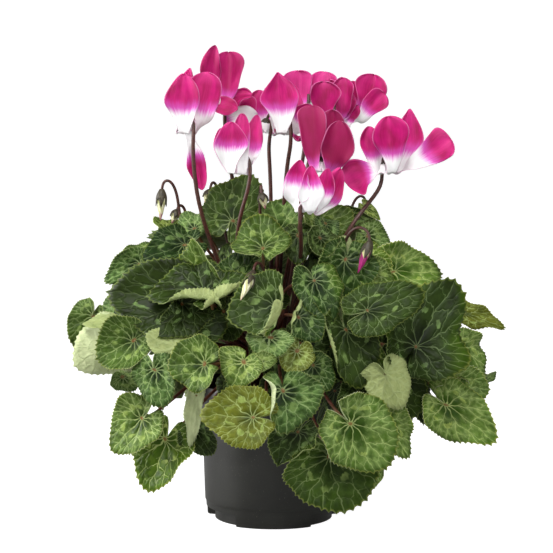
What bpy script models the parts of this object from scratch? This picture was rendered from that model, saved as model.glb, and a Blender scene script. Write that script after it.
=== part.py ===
"""Potted cyclamen: a grow pot of peat, a corm, and the leaves, flowers and buds that rise from its crown.

Lengths in the tables are millimetres and the scene is in metres. The origin is the middle of the pot's
underside, +Z is up and the plant's best side faces -Y.
"""

import math
from collections import namedtuple

import bmesh
import bpy
from mathutils import Quaternion, Vector

MM = 0.001

# Pot: a 12 cm grow pot
POT_HEIGHT = 105.0
POT_BASE_RADIUS = 53.0
POT_WALL_RADIUS = 57.0
POT_RIM_RADIUS = 60.0
POT_RIM_HEIGHT = 11.0
POT_WALL = 1.2
POT_FLOOR = 2.0
POT_SIDES = 36
POT_FOOT_HEIGHT = 14.0
POT_FOOT_RADIUS = 53.6
POT_STEP_RADIUS = 54.4
POT_WELL_RADIUS = 43.0
DRAIN_NOTCHES = 4
DRAIN_NOTCH_WIDTH = 20.0
DRAIN_NOTCH_HEIGHT = 6.0
DRAIN_NOTCH_DEPTH = 8.0

# Peat and corm
GAP = 0.3
SOIL_TOP = 94.0
CORM_RADIUS = 26.0
CORM_HALF_HEIGHT = 15.0
CORM_CENTRE = 97.0
CORM_SIDES = 24
CORM_GAP = 0.5
CORM_CUP_STEPS = 6
CORM_PROFILE_STEPS = 8

# Crown: where the stalks leave the corm
CROWN_SPREAD = 22.0
STALK_SPACING = 4.6
STALK_GAP = 0.5
PLANT_CENTRE = Vector((0.0, 0.0, 100.0))
FACING_CENTRE = Vector((0.0, 0.0, 60.0))

# Leaves
BLADE_THICKNESS = 0.9
BLADE_SPOKES = 18
BLADE_RINGS = 2
PETIOLE_RADIUS = 1.25
PETIOLE_POINTS = 9

# Flowers and buds
PETAL_THICKNESS = 0.8
PETAL_COLUMNS = 2
PETAL_ROWS = 7
TUBE_ROWS = 1
MOUTH_RADIUS = 5.8
TUBE_TOP_RADIUS = 3.6
TUBE_LENGTH = 7.0
CLAW_HALF_WIDTH = 2.8
WIDEST_SHARE = 0.62
STALK_RADIUS = 1.5
STALK_POINTS = 7
OVARY_RADIUS = 2.6
BUD_STALK_RADIUS = 1.3
BUD_RADIUS = 3.6
HOOK_RADIUS = 1.0

# A leaf lies from its junction, where the petiole joins the blade, to its tip. Roll turns the blade
# about that line, width and fold are shares of its length, and sway bows the petiole sideways.
Leaf = namedtuple("Leaf", "junction tip roll width fold cup sway", defaults=(0.0, 1.0, 0.1, 0.0, 0.0))
LEAVES = (
    Leaf((-92, -108, 95), (-119, -102, 80)),
    Leaf((-75, -92, 76), (-91, -98, 38), width=0.85),
    Leaf((-80, -122, 132), (-72, -128, 100)),
    Leaf((-52, -136, 135), (-52, -139, 105)),
    Leaf((-14, -152, 103), (-52, -149, 105)),
    Leaf((7, -141, 122), (11, -147, 88), width=0.9),
    Leaf((54, -133, 93), (83, -126, 64)),
    Leaf((35, -112, 68), (41, -108, 27), width=1.15),
    Leaf((127, -75, 100), (162, -76, 73)),
    Leaf((103, -98, 146), (135, -80, 194), sway=10),
    Leaf((66, -126, 170), (106, -119, 185), sway=10),
    Leaf((30, -110, 200), (40, -120, 166), sway=-20),
    Leaf((2, -124, 178), (-31, -128, 169), width=1.25),
    Leaf((-31, -30, 231), (-19, -17, 267), width=1.1),
    Leaf((-8, -92, 214), (-11, -68, 236), width=1.1),
    Leaf((-64, -98, 176), (-121, -93, 182), width=0.9),
    Leaf((-70, -48, 224), (-98, -66, 203), sway=-12),
    Leaf((46, -113, 146), (69, -118, 119)),
    Leaf((83, -84, 121), (109, -74, 93)),
    Leaf((88, -58, 196), (127, -46, 200)),
    Leaf((-136, -52, 164), (-147, -50, 138)),
    Leaf((142, -34, 163), (173, -30, 152), width=0.8),
    Leaf((34, -48, 229), (57, -34, 234)),
    Leaf((-88, 82, 142), (-112, 98, 106), width=1.1),
    Leaf((-28, 124, 132), (-34, 140, 92), width=1.1),
    Leaf((44, 118, 124), (60, 134, 84), width=1.1),
    Leaf((104, 74, 150), (134, 86, 116), width=1.1),
    Leaf((2, 80, 208), (0, 116, 192), width=1.1),
)

# A petal runs from the mouth of its flower to its tip, given from the middle of the mouth.
Petal = namedtuple("Petal", "tip width roll", defaults=(0.0,))
# A flower hangs by its stalk with its mouth down. Side is the compass angle of the stalk about it,
# up is the way that its mouth turns its back to, and via is a point on the stalk.
Flower = namedtuple("Flower", "mouth side up via petals")
FLOWERS = (
    Flower((-65, -45, 298), -50, (0.1, 0.1, 1), (-51, -46, 237), (
        Petal((-3, -6, 43), 27), Petal((15, -2, 45), 24), Petal((12, 2, -44), 18),
        Petal((2, 18, 46), 22), Petal((-12, 16, 36), 22))),
    Flower((-43, -6, 318), 50, (0.1, 0.2, 1), (-32, 6, 262), (
        Petal((-3, -8, 47), 24), Petal((10, 6, 41), 24), Petal((28, -6, 8), 20),
        Petal((16, -10, -6), 18), Petal((-12, 14, 32), 22))),
    Flower((-7, 16, 297), -60, (0.2, 0.1, 1), (-2, 6, 250), (
        Petal((-21, -4, 29), 22), Petal((-3, 9, 35), 22), Petal((-10, 20, 24), 20),
        Petal((12, 16, 20), 20), Petal((13, 0, -2), 14))),
    Flower((8, -42, 298), -60, (0, 0.1, 1), (9, -42, 262), (
        Petal((-4, -5, 46), 30), Petal((-12, 8, 36), 22), Petal((15, -4, 2), 16),
        Petal((10, 18, 38), 24), Petal((-6, 20, 30), 22))),
    Flower((27, 30, 314), -90, (0, 0.1, 1), (16, 14, 230), (
        Petal((-9, -4, 31), 20), Petal((13, 0, 32), 20), Petal((0, 15, 33), 20),
        Petal((-20, 10, 14), 20), Petal((18, 12, 12), 20))),
    Flower((-26, -60, 269), -20, (0.1, 0.1, 1), (-25, -52, 215), (
        Petal((-9, -6, 36), 24), Petal((4, -5, 41), 22), Petal((14, 6, 43), 18),
        Petal((-14, 14, 38), 24), Petal((4, 16, 40), 22))),
    Flower((44, -20, 307), -80, (0, 0.1, 1), (30, -20, 230), (
        Petal((-9, -5, 29), 24), Petal((11, 0, 32), 20), Petal((-2, 15, 32), 22),
        Petal((20, 6, 14), 18), Petal((-20, 6, 8), 18))),
    Flower((59, 4, 305), 180, (-0.2, 0.1, 1), (44, 2, 230), (
        Petal((22, 2, 36), 22), Petal((26, -8, 18), 20), Petal((0, 10, 37), 22),
        Petal((-12, 10, 20), 20), Petal((5, -11, 8), 16))),
    Flower((34, -66, 271), -160, (0, 0.1, 1), (17, -54, 215), (
        Petal((-8, -4, 49), 22), Petal((8, -2, 48), 20), Petal((21, -4, 33), 26),
        Petal((-5, 16, 40), 22), Petal((12, 16, 40), 22))),
    Flower((25, -98, 243), -120, (0, 0.1, 1), (20, -72, 205), (
        Petal((-9, -6, 40), 22), Petal((4, -8, 33), 20), Petal((17, -4, 33), 22),
        Petal((26, 6, 28), 22), Petal((-12, 14, 30), 22))),
    Flower((80, -50, 270), 170, (-0.1, 0.1, 1), (52, -60, 222), (
        Petal((3, -8, 41), 28), Petal((-29, -6, -10), 24), Petal((-12, 10, 34), 20),
        Petal((22, 10, 46), 24), Petal((46, 0, 27), 24))),
)

# A bud hangs by a hooked stalk: the bend of the hook, the calyx below it and the tip of the furled petals.
Bud = namedtuple("Bud", "bend calyx tip via")
BUDS = (
    Bud((-83, -22, 263), (-87, -24, 253), (-86, -24, 233), (-72, -20, 232)),
    Bud((-70, -12, 241), (-74, -13, 235), (-77, -14, 228), (-66, -8, 228)),
    Bud((-44, -8, 258), (-49, -10, 250), (-52, -11, 242), (-41, -6, 236)),
    Bud((-10, -52, 258), (-8, -56, 250), (-6, -58, 242), (-10, -47, 236)),
    Bud((-7, -104, 206), (-15, -118, 199), (-23, -134, 183), (-5, -90, 182)),
    Bud((66, -88, 230), (69, -90, 218), (61, -93, 198), (50, -76, 204)),
    Bud((66, 16, 246), (70, 14, 238), (66, 12, 230), (58, 14, 220)),
)


def clear_scene():
    """Remove every object of the start-up scene."""
    for obj in list(bpy.data.objects):
        bpy.data.objects.remove(obj, do_unlink=True)


def make_collection(name):
    """Return a new collection under the scene's own."""
    collection = bpy.data.collections.new(name)
    bpy.context.scene.collection.children.link(collection)
    return collection


def make_material(name, colour, roughness):
    """Return a Principled material of one colour."""
    material = bpy.data.materials.new(name)
    material.use_nodes = True
    shader = material.node_tree.nodes["Principled BSDF"]
    shader.inputs["Base Color"].default_value = (*colour, 1.0)
    shader.inputs["Roughness"].default_value = roughness
    return material


def add_object(name, mesh, collection, material):
    """Put a mesh in the collection as a named object."""
    obj = bpy.data.objects.new(name, mesh)
    collection.objects.link(obj)
    if material:
        mesh.materials.append(material)
    return obj


def mesh_from(bm, name):
    """Turn a bmesh into a mesh, with its faces looking outwards."""
    mesh = bpy.data.meshes.new(name)
    bm.to_mesh(mesh)
    bm.free()
    return mesh


def turned(name, profile, sides, collection, material):
    """Turn a closed profile of (radius, height) points about Z, with a Screw modifier."""
    bm = bmesh.new()
    verts = [bm.verts.new((radius * MM, 0.0, height * MM)) for radius, height in profile]
    for first, second in zip(verts, verts[1:]):
        bm.edges.new((first, second))
    obj = add_object(name, mesh_from(bm, name), collection, material)
    screw = obj.modifiers.new("turn", "SCREW")
    screw.steps = sides
    screw.render_steps = sides
    screw.use_merge_vertices = True
    screw.merge_threshold = 0.00001
    screw.use_normal_calculate = True
    return obj


def difference(obj, cutter):
    """Cut one mesh object from another."""
    cut = obj.modifiers.new("cut", "BOOLEAN")
    cut.operation = "DIFFERENCE"
    cut.solver = "EXACT"
    cut.object = cutter


def union(obj, other):
    """Join a helper mesh object to another."""
    join = obj.modifiers.new("join", "BOOLEAN")
    join.operation = "UNION"
    join.solver = "EXACT"
    join.object = other


def hide(helper):
    """Keep a cutter or a helper out of the model."""
    helper.hide_render = True
    helper.display_type = "WIRE"


def bezier(points, t):
    """Return the point at t on the Bezier curve of any number of points."""
    points = list(points)
    while len(points) > 1:
        points = [a.lerp(b, t) for a, b in zip(points, points[1:])]
    return points[0]


def through(points, t):
    """Return the point at t on a Catmull-Rom curve through all the points."""
    spans = len(points) - 1
    index = min(int(t * spans), spans - 1)
    u = t * spans - index
    before = points[max(index - 1, 0)]
    start = points[index]
    end = points[index + 1]
    after = points[min(index + 2, spans)]
    return 0.5 * (
        2 * start
        + (end - before) * u
        + (2 * before - 5 * start + 4 * end - after) * u**2
        + (3 * start - before - 3 * end + after) * u**3
    )


def rod(name, points, radius, collection, material, end_radius=None):
    """Make a round rod along the points, as a bevelled curve turned into a mesh."""
    curve = bpy.data.curves.new(name, "CURVE")
    curve.dimensions = "3D"
    curve.bevel_depth = radius * MM
    curve.bevel_resolution = 1
    curve.use_fill_caps = True
    spline = curve.splines.new("POLY")
    spline.points.add(len(points) - 1)
    end_share = (end_radius or radius) / radius
    for index, (item, point) in enumerate(zip(spline.points, points)):
        item.co = (*(point * MM), 1.0)
        item.radius = 1.0 + (end_share - 1.0) * index / (len(points) - 1)
    source = bpy.data.objects.new(name + "_curve", curve)
    collection.objects.link(source)
    bpy.context.view_layer.update()
    graph = bpy.context.evaluated_depsgraph_get()
    mesh = bpy.data.meshes.new_from_object(source.evaluated_get(graph))
    bpy.data.objects.remove(source, do_unlink=True)
    bm = bmesh.new()
    bm.from_mesh(mesh)
    bmesh.ops.remove_doubles(bm, verts=bm.verts, dist=0.00001)
    bmesh.ops.recalc_face_normals(bm, faces=bm.faces)
    bm.to_mesh(mesh)
    bm.free()
    return add_object(name, mesh, collection, material)


def ball(name, centre, radius, length, axis, collection):
    """Make a ball or an egg, its length along the axis."""
    bm = bmesh.new()
    bmesh.ops.create_uvsphere(bm, u_segments=8, v_segments=5, radius=radius * MM)
    bmesh.ops.scale(bm, vec=(1.0, 1.0, length / (2 * radius)), verts=bm.verts)
    turn = Vector((0, 0, 1)).rotation_difference(axis)
    bmesh.ops.rotate(bm, matrix=turn.to_matrix(), verts=bm.verts)
    bmesh.ops.translate(bm, vec=centre * MM, verts=bm.verts)
    return add_object(name, mesh_from(bm, name), collection, None)


def build_pot(parts, helpers):
    """The grow pot: a tapered wall with a thicker rim, a step above the foot and drain notches round it."""
    black = make_material("pot_plastic", (0.025, 0.026, 0.024), 0.45)
    profile = [
        (0.0, 0.0),
        (POT_BASE_RADIUS - 1.5, 0.0),
        (POT_BASE_RADIUS, 1.5),
        (POT_FOOT_RADIUS, POT_FOOT_HEIGHT - 1.0),
        (POT_STEP_RADIUS, POT_FOOT_HEIGHT + 1.0),
        (POT_WALL_RADIUS, POT_HEIGHT - POT_RIM_HEIGHT),
        (POT_RIM_RADIUS, POT_HEIGHT - POT_RIM_HEIGHT + 0.5),
        (POT_RIM_RADIUS, POT_HEIGHT - 0.6),
        (POT_RIM_RADIUS - 0.6, POT_HEIGHT),
        (POT_RIM_RADIUS - 1.4, POT_HEIGHT),
        (POT_WALL_RADIUS - POT_WALL, POT_HEIGHT - POT_RIM_HEIGHT - 2.0),
        (POT_STEP_RADIUS - POT_WALL, POT_FOOT_HEIGHT + 1.5),
        (POT_WELL_RADIUS, POT_FOOT_HEIGHT - 5.0),
        (POT_WELL_RADIUS, POT_FLOOR),
        (0.0, POT_FLOOR),
    ]
    pot = turned("pot", profile, POT_SIDES, parts, black)
    for index in range(DRAIN_NOTCHES):
        angle = math.radians(360.0 * (index + 0.5) / DRAIN_NOTCHES)
        bpy.ops.mesh.primitive_cube_add(size=1.0)
        cutter = bpy.context.active_object
        cutter.name = f"drain_notch_{index + 1}"
        cutter.scale = (2 * DRAIN_NOTCH_DEPTH * MM, DRAIN_NOTCH_WIDTH * MM, 2 * DRAIN_NOTCH_HEIGHT * MM)
        cutter.rotation_euler = (0.0, 0.0, angle)
        cutter.location = Vector((math.cos(angle), math.sin(angle), 0.0)) * POT_BASE_RADIUS * MM
        move_to(cutter, helpers)
        hide(cutter)
        difference(pot, cutter)
    return pot


def move_to(obj, collection):
    """Take an object out of its collections and put it in this one."""
    for old in list(obj.users_collection):
        old.objects.unlink(obj)
    collection.objects.link(obj)


def build_corm(parts):
    """The corm: a flattened ball, half of it above the peat."""
    brown = make_material("corm_skin", (0.16, 0.09, 0.05), 0.9)
    profile = []
    for index in range(CORM_PROFILE_STEPS + 1):
        angle = math.pi * (index / CORM_PROFILE_STEPS - 0.5)
        height = CORM_CENTRE + CORM_HALF_HEIGHT * math.sin(angle)
        profile.append((CORM_RADIUS * math.cos(angle), height))
    profile[0] = (0.0, CORM_CENTRE - CORM_HALF_HEIGHT)
    profile[-1] = (0.0, CORM_CENTRE + CORM_HALF_HEIGHT)
    return turned("corm", profile, CORM_SIDES, parts, brown)


def build_potting_mix(parts):
    """The peat: it fills the pot and cups the lower half of the corm."""
    peat = make_material("peat", (0.06, 0.04, 0.028), 1.0)
    wall = POT_WALL + GAP + 0.1
    slope = (POT_WALL_RADIUS - POT_STEP_RADIUS) / (POT_HEIGHT - POT_RIM_HEIGHT - POT_FOOT_HEIGHT)
    top_radius = POT_STEP_RADIUS + slope * (SOIL_TOP - POT_FOOT_HEIGHT) - wall - GAP
    profile = [
        (0.0, POT_FLOOR + GAP),
        (POT_WELL_RADIUS - GAP, POT_FLOOR + GAP),
        (POT_WELL_RADIUS - GAP, POT_FOOT_HEIGHT - 4.6),
        (POT_STEP_RADIUS - wall, POT_FOOT_HEIGHT + 2.2),
        (top_radius, SOIL_TOP - 1.5),
        (top_radius - 2.0, SOIL_TOP),
        (CORM_RADIUS + 2 * CORM_GAP, SOIL_TOP),
    ]
    for index in range(CORM_CUP_STEPS + 1):
        angle = math.pi * 0.5 * (0.12 + 0.88 * index / CORM_CUP_STEPS)
        height = CORM_CENTRE - (CORM_HALF_HEIGHT + CORM_GAP) * math.sin(angle)
        radius = (CORM_RADIUS + CORM_GAP) * math.cos(angle)
        profile.append((radius if index < CORM_CUP_STEPS else 0.0, height))
    return turned("potting_mix", profile, CORM_SIDES * 2, parts, peat)


def crown_starts(ends):
    """Return where each stalk leaves the crown and which way, towards its end and clear of the others."""
    leans = [(end - PLANT_CENTRE).angle(Vector((0, 0, 1))) for end in ends]
    order = sorted(range(len(ends)), key=lambda index: leans[index])
    spots = [None] * len(ends)
    for rank, index in enumerate(order):
        away = Vector((ends[index].x, ends[index].y)).normalized()
        spots[index] = away * CROWN_SPREAD * math.sqrt((rank + 0.5) / len(ends))
    for _ in range(400):
        for i, spot in enumerate(spots):
            for j in range(i):
                apart = spot - spots[j]
                short = STALK_SPACING - apart.length
                if short > 0:
                    push = apart.normalized() * short * 0.5 if apart.length > 0.001 else Vector((0.5, 0.1))
                    spot += push
                    spots[j] -= push
        for spot in spots:
            if spot.length > CROWN_SPREAD + 2.0:
                spot *= (CROWN_SPREAD + 2.0) / spot.length
    starts = []
    for spot in spots:
        share = spot.length / CORM_RADIUS
        rise = CORM_HALF_HEIGHT * math.sqrt(1.0 - share * share)
        skin = Vector((spot.x, spot.y, rise))
        normal = Vector((*(spot / CORM_RADIUS**2), rise / CORM_HALF_HEIGHT**2)).normalized()
        starts.append((skin + Vector((0.0, 0.0, CORM_CENTRE)) + normal * STALK_GAP, normal))
    return starts


def leaf_frame(leaf):
    """Return the leaf's junction, its length and the ways along it, across it and out of its face."""
    junction = Vector(leaf.junction)
    along = Vector(leaf.tip) - junction
    length = along.length
    along.normalize()
    outward = (junction - FACING_CENTRE).normalized()
    face = (outward - along * outward.dot(along)).normalized()
    face = Quaternion(along, math.radians(leaf.roll)) @ face
    across = face.cross(along)
    return junction, length, along, across, face


def outline(angle):
    """Return the heart outline's radius, as a share of the length, at an angle from the tip."""
    tip = 0.30 * math.exp(-((angle / math.radians(22.0)) ** 2))
    notch = 0.38 * math.exp(-(((math.pi - abs(angle)) / math.radians(14.0)) ** 2))
    return 0.60 + 0.10 * math.cos(angle) + tip - notch


def blade_point(leaf, frame, angle, share):
    """Return the point of the blade at an angle from its tip, this share of the way to the margin."""
    junction, length, along, across, face = frame
    radius = length * outline(angle) * share
    forward = radius * math.cos(angle)
    aside = radius * math.sin(angle) * leaf.width
    rise = leaf.fold * (math.hypot(aside, 4.0) - 4.0)
    rise += leaf.cup * (forward**2 + aside**2) / length
    rise -= 0.12 * max(forward, 0.0) ** 2 / length
    return junction + along * forward + across * aside + face * rise


def petiole_points(leaf, frame, start):
    """Return the points of the petiole, from the crown to just inside the blade."""
    junction, length, along, across, face = frame
    place, normal = start
    reach = (junction - place).length
    arrive = (face + along * 0.35).normalized()
    rise = place + (normal + Vector((0.0, 0.0, 0.6))) * reach * 0.28
    side = Vector((0, 0, 1)).cross(junction - place).normalized() * leaf.sway
    bend = junction - arrive * reach * 0.3
    steps = PETIOLE_POINTS - 1
    return [
        bezier((place, rise + side * 0.3, bend + side, junction), index / steps)
        for index in range(PETIOLE_POINTS)
    ]


def build_leaf(name, leaf, start, parts, helpers, material):
    """One leaf: a heart-shaped blade, thickened, and its petiole joined to it."""
    frame = leaf_frame(leaf)
    bm = bmesh.new()
    spoke = [bm.verts.new((ring / BLADE_RINGS, 0.0, 0.0)) for ring in range(BLADE_RINGS + 1)]
    edges = [bm.edges.new(pair) for pair in zip(spoke, spoke[1:])]
    bmesh.ops.spin(
        bm, geom=spoke + edges, cent=(0, 0, 0), axis=(0, 0, 1), angle=math.tau, steps=BLADE_SPOKES
    )
    bmesh.ops.remove_doubles(bm, verts=bm.verts, dist=0.0001)
    bmesh.ops.recalc_face_normals(bm, faces=bm.faces)
    for vert in bm.verts:
        angle = math.atan2(vert.co.y, vert.co.x)
        share = vert.co.length
        vert.co = blade_point(leaf, frame, angle, share) * MM
    blade = add_object(name, mesh_from(bm, name), parts, material)
    thicken = blade.modifiers.new("thickness", "SOLIDIFY")
    thicken.thickness = BLADE_THICKNESS * MM
    thicken.offset = 0.0
    thicken.use_even_offset = True
    petiole = rod(name + "_petiole", petiole_points(leaf, frame, start), PETIOLE_RADIUS, helpers, material)
    hide(petiole)
    union(blade, petiole)
    return blade


def flower_axes(flower):
    """Return the way up through the flower, towards its stalk, and across both."""
    up = Vector(flower.up).normalized()
    side = Vector((math.cos(math.radians(flower.side)), math.sin(math.radians(flower.side)), 0.0))
    side = (side - up * side.dot(up)).normalized()
    return up, side, up.cross(side)


def petals_round(flower, axes):
    """Return the petals in order round the flower from its stalk, each with its claw's three angles.

    The angles are those of the tube's edge before the petal, the claw's middle and the edge after it.
    """
    up, side, across = axes

    def turn_from_stalk(petal):
        tip = Vector(petal.tip)
        return math.atan2(tip.dot(across), tip.dot(side)) % math.tau

    edges = [0.0, 79.5, 146.5, 213.5, 280.5, 360.0]
    middles = [46.0, 113.0, 180.0, 247.0, 314.0]
    ordered = sorted(flower.petals, key=turn_from_stalk)
    angles = zip(edges, middles, edges[1:])
    return [(petal, tuple(map(math.radians, three))) for petal, three in zip(ordered, angles)]


def petal_point(flower, axes, angles, petal, along, aside):
    """Return a petal's point, along from 0 at the calyx to 1 at the tip, and aside from -1 to 1."""
    up, side, across = axes
    mouth = Vector(flower.mouth)
    before, middle, after = angles
    tube_share = TUBE_ROWS / PETAL_ROWS
    if along < tube_share + 0.001:
        share = along / tube_share
        turn = before + (after - before) * (aside + 1) / 2
        out = side * math.cos(turn) + across * math.sin(turn)
        radius = TUBE_TOP_RADIUS + (MOUTH_RADIUS - TUBE_TOP_RADIUS) * share
        return mouth + out * radius + up * TUBE_LENGTH * (1 - share)
    share = (along - tube_share) / (1 - tube_share)
    out = side * math.cos(middle) + across * math.sin(middle)
    tip = Vector(petal.tip)
    claw = mouth + out * MOUTH_RADIUS
    lip = claw + out * 5.0 - up * 6.0
    shoulder = mouth + out * 13.0 + tip * 0.3
    route = (claw, lip, shoulder, mouth + tip)
    centre = bezier(route, share)
    forward = (bezier(route, min(share + 0.02, 1.0)) - bezier(route, share - 0.02)).normalized()
    level = up.cross(out)
    level = (level - forward * level.dot(forward)).normalized()
    level = Quaternion(forward, math.radians(petal.roll) * share) @ level
    swell = math.sin(math.pi / 2 * min(share / WIDEST_SHARE, 1.0)) ** 1.3
    half = CLAW_HALF_WIDTH + (petal.width / 2 - CLAW_HALF_WIDTH) * swell
    if share > WIDEST_SHARE:
        half *= math.sqrt(max(0.0, 1.0 - ((share - WIDEST_SHARE) / 0.40) ** 2))
    return centre + level * half * aside


def build_corolla(name, flower, parts, material):
    """The corolla: a short tube of five petals that turn back from its mouth."""
    axes = flower_axes(flower)
    bm = bmesh.new()
    for petal, angles in petals_round(flower, axes):
        made = bmesh.ops.create_grid(bm, x_segments=PETAL_COLUMNS, y_segments=PETAL_ROWS, size=1.0)
        for vert in made["verts"]:
            along = (vert.co.y + 1.0) / 2.0
            vert.co = petal_point(flower, axes, angles, petal, along, vert.co.x) * MM
    bmesh.ops.remove_doubles(bm, verts=bm.verts, dist=0.00005)
    bmesh.ops.recalc_face_normals(bm, faces=bm.faces)
    corolla = add_object(name, mesh_from(bm, name), parts, material)
    thicken = corolla.modifiers.new("thickness", "SOLIDIFY")
    thicken.thickness = PETAL_THICKNESS * MM
    thicken.offset = 0.0
    return corolla


def build_flower_stalk(name, flower, start, parts, helpers, material):
    """A flower stalk: it rises from the crown, hooks over and holds the ovary inside the corolla."""
    up, side, _ = flower_axes(flower)
    mouth = Vector(flower.mouth)
    hook = [
        mouth + side * 9.9 - up * 10.0,
        mouth + side * 9.7 + up * 4.0,
        mouth + side * 7.4 + up * 10.5,
        mouth + side * 3.6 + up * 13.5,
        mouth + side * 0.6 + up * 11.0,
        mouth + up * 6.0,
    ]
    place, normal = start
    via = Vector(flower.via)
    lower = [place, place.lerp(via, 0.35) + normal * 8.0, via, hook[0]]
    steps = STALK_POINTS
    points = [through(lower, index / steps) for index in range(steps)] + hook
    stalk = rod(name, points, STALK_RADIUS, parts, material, end_radius=HOOK_RADIUS)
    ovary = ball(name + "_ovary", mouth + up * 5.6, OVARY_RADIUS, 6.0, up, helpers)
    hide(ovary)
    union(stalk, ovary)
    return stalk


def build_bud(name, bud, start, parts, helpers, material):
    """A bud on its hooked stalk: calyx and furled petals as one long egg."""
    bend = Vector(bud.bend)
    calyx = Vector(bud.calyx)
    tip = Vector(bud.tip)
    axis = (calyx - tip).normalized()
    length = (calyx - tip).length + 6.0
    top = calyx + axis * 3.0
    via = Vector(bud.via)
    near = bend.lerp(via, 0.12)
    place, normal = start
    rise = place.lerp(via, 0.4) + normal * 8.0
    lower = [place, rise, via, near, bend, top.lerp(bend, 0.25), calyx]
    steps = STALK_POINTS + 5
    points = [through(lower, index / steps) for index in range(steps + 1)]
    stalk = rod(name, points, BUD_STALK_RADIUS, parts, material, end_radius=HOOK_RADIUS)
    fatness = min(BUD_RADIUS, length * 0.24)
    egg = ball(name + "_egg", (calyx + tip) / 2 + axis, fatness, length, axis, helpers)
    hide(egg)
    union(stalk, egg)
    return stalk


def main():
    clear_scene()
    parts = make_collection("potted_cyclamen")
    helpers = make_collection("helpers")
    build_pot(parts, helpers)
    build_potting_mix(parts)
    build_corm(parts)
    green = make_material("leaf_green", (0.07, 0.13, 0.04), 0.5)
    magenta = make_material("petal_magenta", (0.55, 0.01, 0.12), 0.5)
    brown = make_material("stalk_brown", (0.06, 0.02, 0.015), 0.5)
    ends = [Vector(leaf.junction) for leaf in LEAVES]
    ends += [Vector(flower.mouth) for flower in FLOWERS]
    ends += [Vector(bud.bend) for bud in BUDS]
    starts = iter(crown_starts(ends))
    for index, leaf in enumerate(LEAVES):
        build_leaf(f"leaf_{index + 1:02d}", leaf, next(starts), parts, helpers, green)
    for index, flower in enumerate(FLOWERS):
        build_flower_stalk(f"flower_stalk_{index + 1:02d}", flower, next(starts), parts, helpers, brown)
        build_corolla(f"corolla_{index + 1:02d}", flower, parts, magenta)
    for index, bud in enumerate(BUDS):
        build_bud(f"bud_{index + 1:02d}", bud, next(starts), parts, helpers, brown)


main()
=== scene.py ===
"""Potted cyclamen: the looks of the leaves, flowers, buds, corm, peat and grow pot.

Lengths in the tables and in the shape functions are millimetres, and a mesh is turned to metres as it
is made. The origin is the middle of the pot's underside and +Z is up.
"""

import math
from collections import namedtuple
from functools import partial
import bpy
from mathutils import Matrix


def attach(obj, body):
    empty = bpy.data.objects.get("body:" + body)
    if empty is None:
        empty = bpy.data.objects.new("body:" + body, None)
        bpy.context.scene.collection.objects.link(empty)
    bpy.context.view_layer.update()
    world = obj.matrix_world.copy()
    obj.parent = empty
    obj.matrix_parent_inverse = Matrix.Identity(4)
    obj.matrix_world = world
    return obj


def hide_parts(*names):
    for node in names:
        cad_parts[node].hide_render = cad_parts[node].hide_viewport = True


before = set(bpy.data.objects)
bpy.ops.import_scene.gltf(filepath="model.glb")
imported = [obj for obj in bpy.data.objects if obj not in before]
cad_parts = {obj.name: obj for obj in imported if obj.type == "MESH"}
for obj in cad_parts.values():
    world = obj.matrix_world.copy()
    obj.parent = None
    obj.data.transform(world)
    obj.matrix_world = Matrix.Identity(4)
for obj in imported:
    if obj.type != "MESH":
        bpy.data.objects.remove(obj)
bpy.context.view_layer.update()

from types import SimpleNamespace

import bpy
import numpy as np
from mathutils import Vector

MM = 0.001
BODY = "root"

# Crown: where the stalks leave the corm, spread apart in passes; the edge lean is the angle from
# upright, in radians, of a petiole that leaves at the crown's edge
CORM_RADIUS = 26.0
CORM_HALF_HEIGHT = 15.0
CORM_CENTRE = 97.0
CROWN_SPREAD = 22.0
CROWN_LIMIT = 24.0
CROWN_PASSES = 400
STALK_SPACING = 4.6
EDGE_LEAN = 1.6
PLANT_CENTRE = Vector((0.0, 0.0, 100.0))
FACING_CENTRE = np.array((0.0, 0.0, 60.0))

# Leaves; a level of detail is the number of points round a blade and of rings out from its junction
BLADE_THICKNESS = 0.45
TIP_DROOP = 0.12
PETIOLE_RADIUS = 1.25
PETIOLE_STEPS = 16
MAIN_VEIN_STEP = math.radians(36.0)
LEAF_SEED_STEP = 0.0173
FIRST_GROUP_SEED = 31
GROUP_SEED_STEP = 17
FINE = (168, 8)
PLAIN = (120, 7)
ROUGH = (72, 5)
# The dome that the leaves make: half its width and depth, the height of its widest place and its rise
DOME_WIDTH, DOME_DEPTH, DOME_WAIST, DOME_RISE = 150.0, 135.0, 128.0, 118.0
FIRST_RING_SEED = 11
RING_DROP = 24.0

# Flowers; the petals' bases join into a tube, and each limb starts as a claw at the tube's mouth
PETAL_THICKNESS = 0.4
PETAL_ROWS, PETAL_COLUMNS = 30, 17
PETAL_SEED_STEP = 0.0137
MOUTH_RADIUS = 5.8
TUBE_TOP_RADIUS = 3.6
TUBE_LENGTH = 7.0
TUBE_ROWS = 4
CLAW_HALF_WIDTH = 3.4
STALK_RADIUS = 1.5
HOOK_RADIUS = 1.0
BUD_STALK_RADIUS = 1.3

# Pot and peat; a drain notch cuts the pot's foot back to a radius, up to a height
NOTCH_FROM_FRONT = math.radians(65.0)
NOTCH_HALF_ANGLE = math.radians(31.0)
NOTCH_HEIGHT = 9.5
NOTCH_RADIUS = 45.2
SOIL_TOP = 94.0
SOIL_RADIUS = 54.0

# How brightly the floor and the surround glow on the plant, and as the camera sees them
FLOOR_GLOW, FLOOR_GLOW_SEEN = 0.15, 0.99
SURROUND_LIGHT, SURROUND_SEEN = 0.08, 1.05

# Camera, in metres and degrees
CAMERA_PLACE = (0.0023, -1.6, 0.349)
CAMERA_PITCH = -5.817
CAMERA_LENS = 136.64
CAMERA_SENSOR = 36.0

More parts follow.
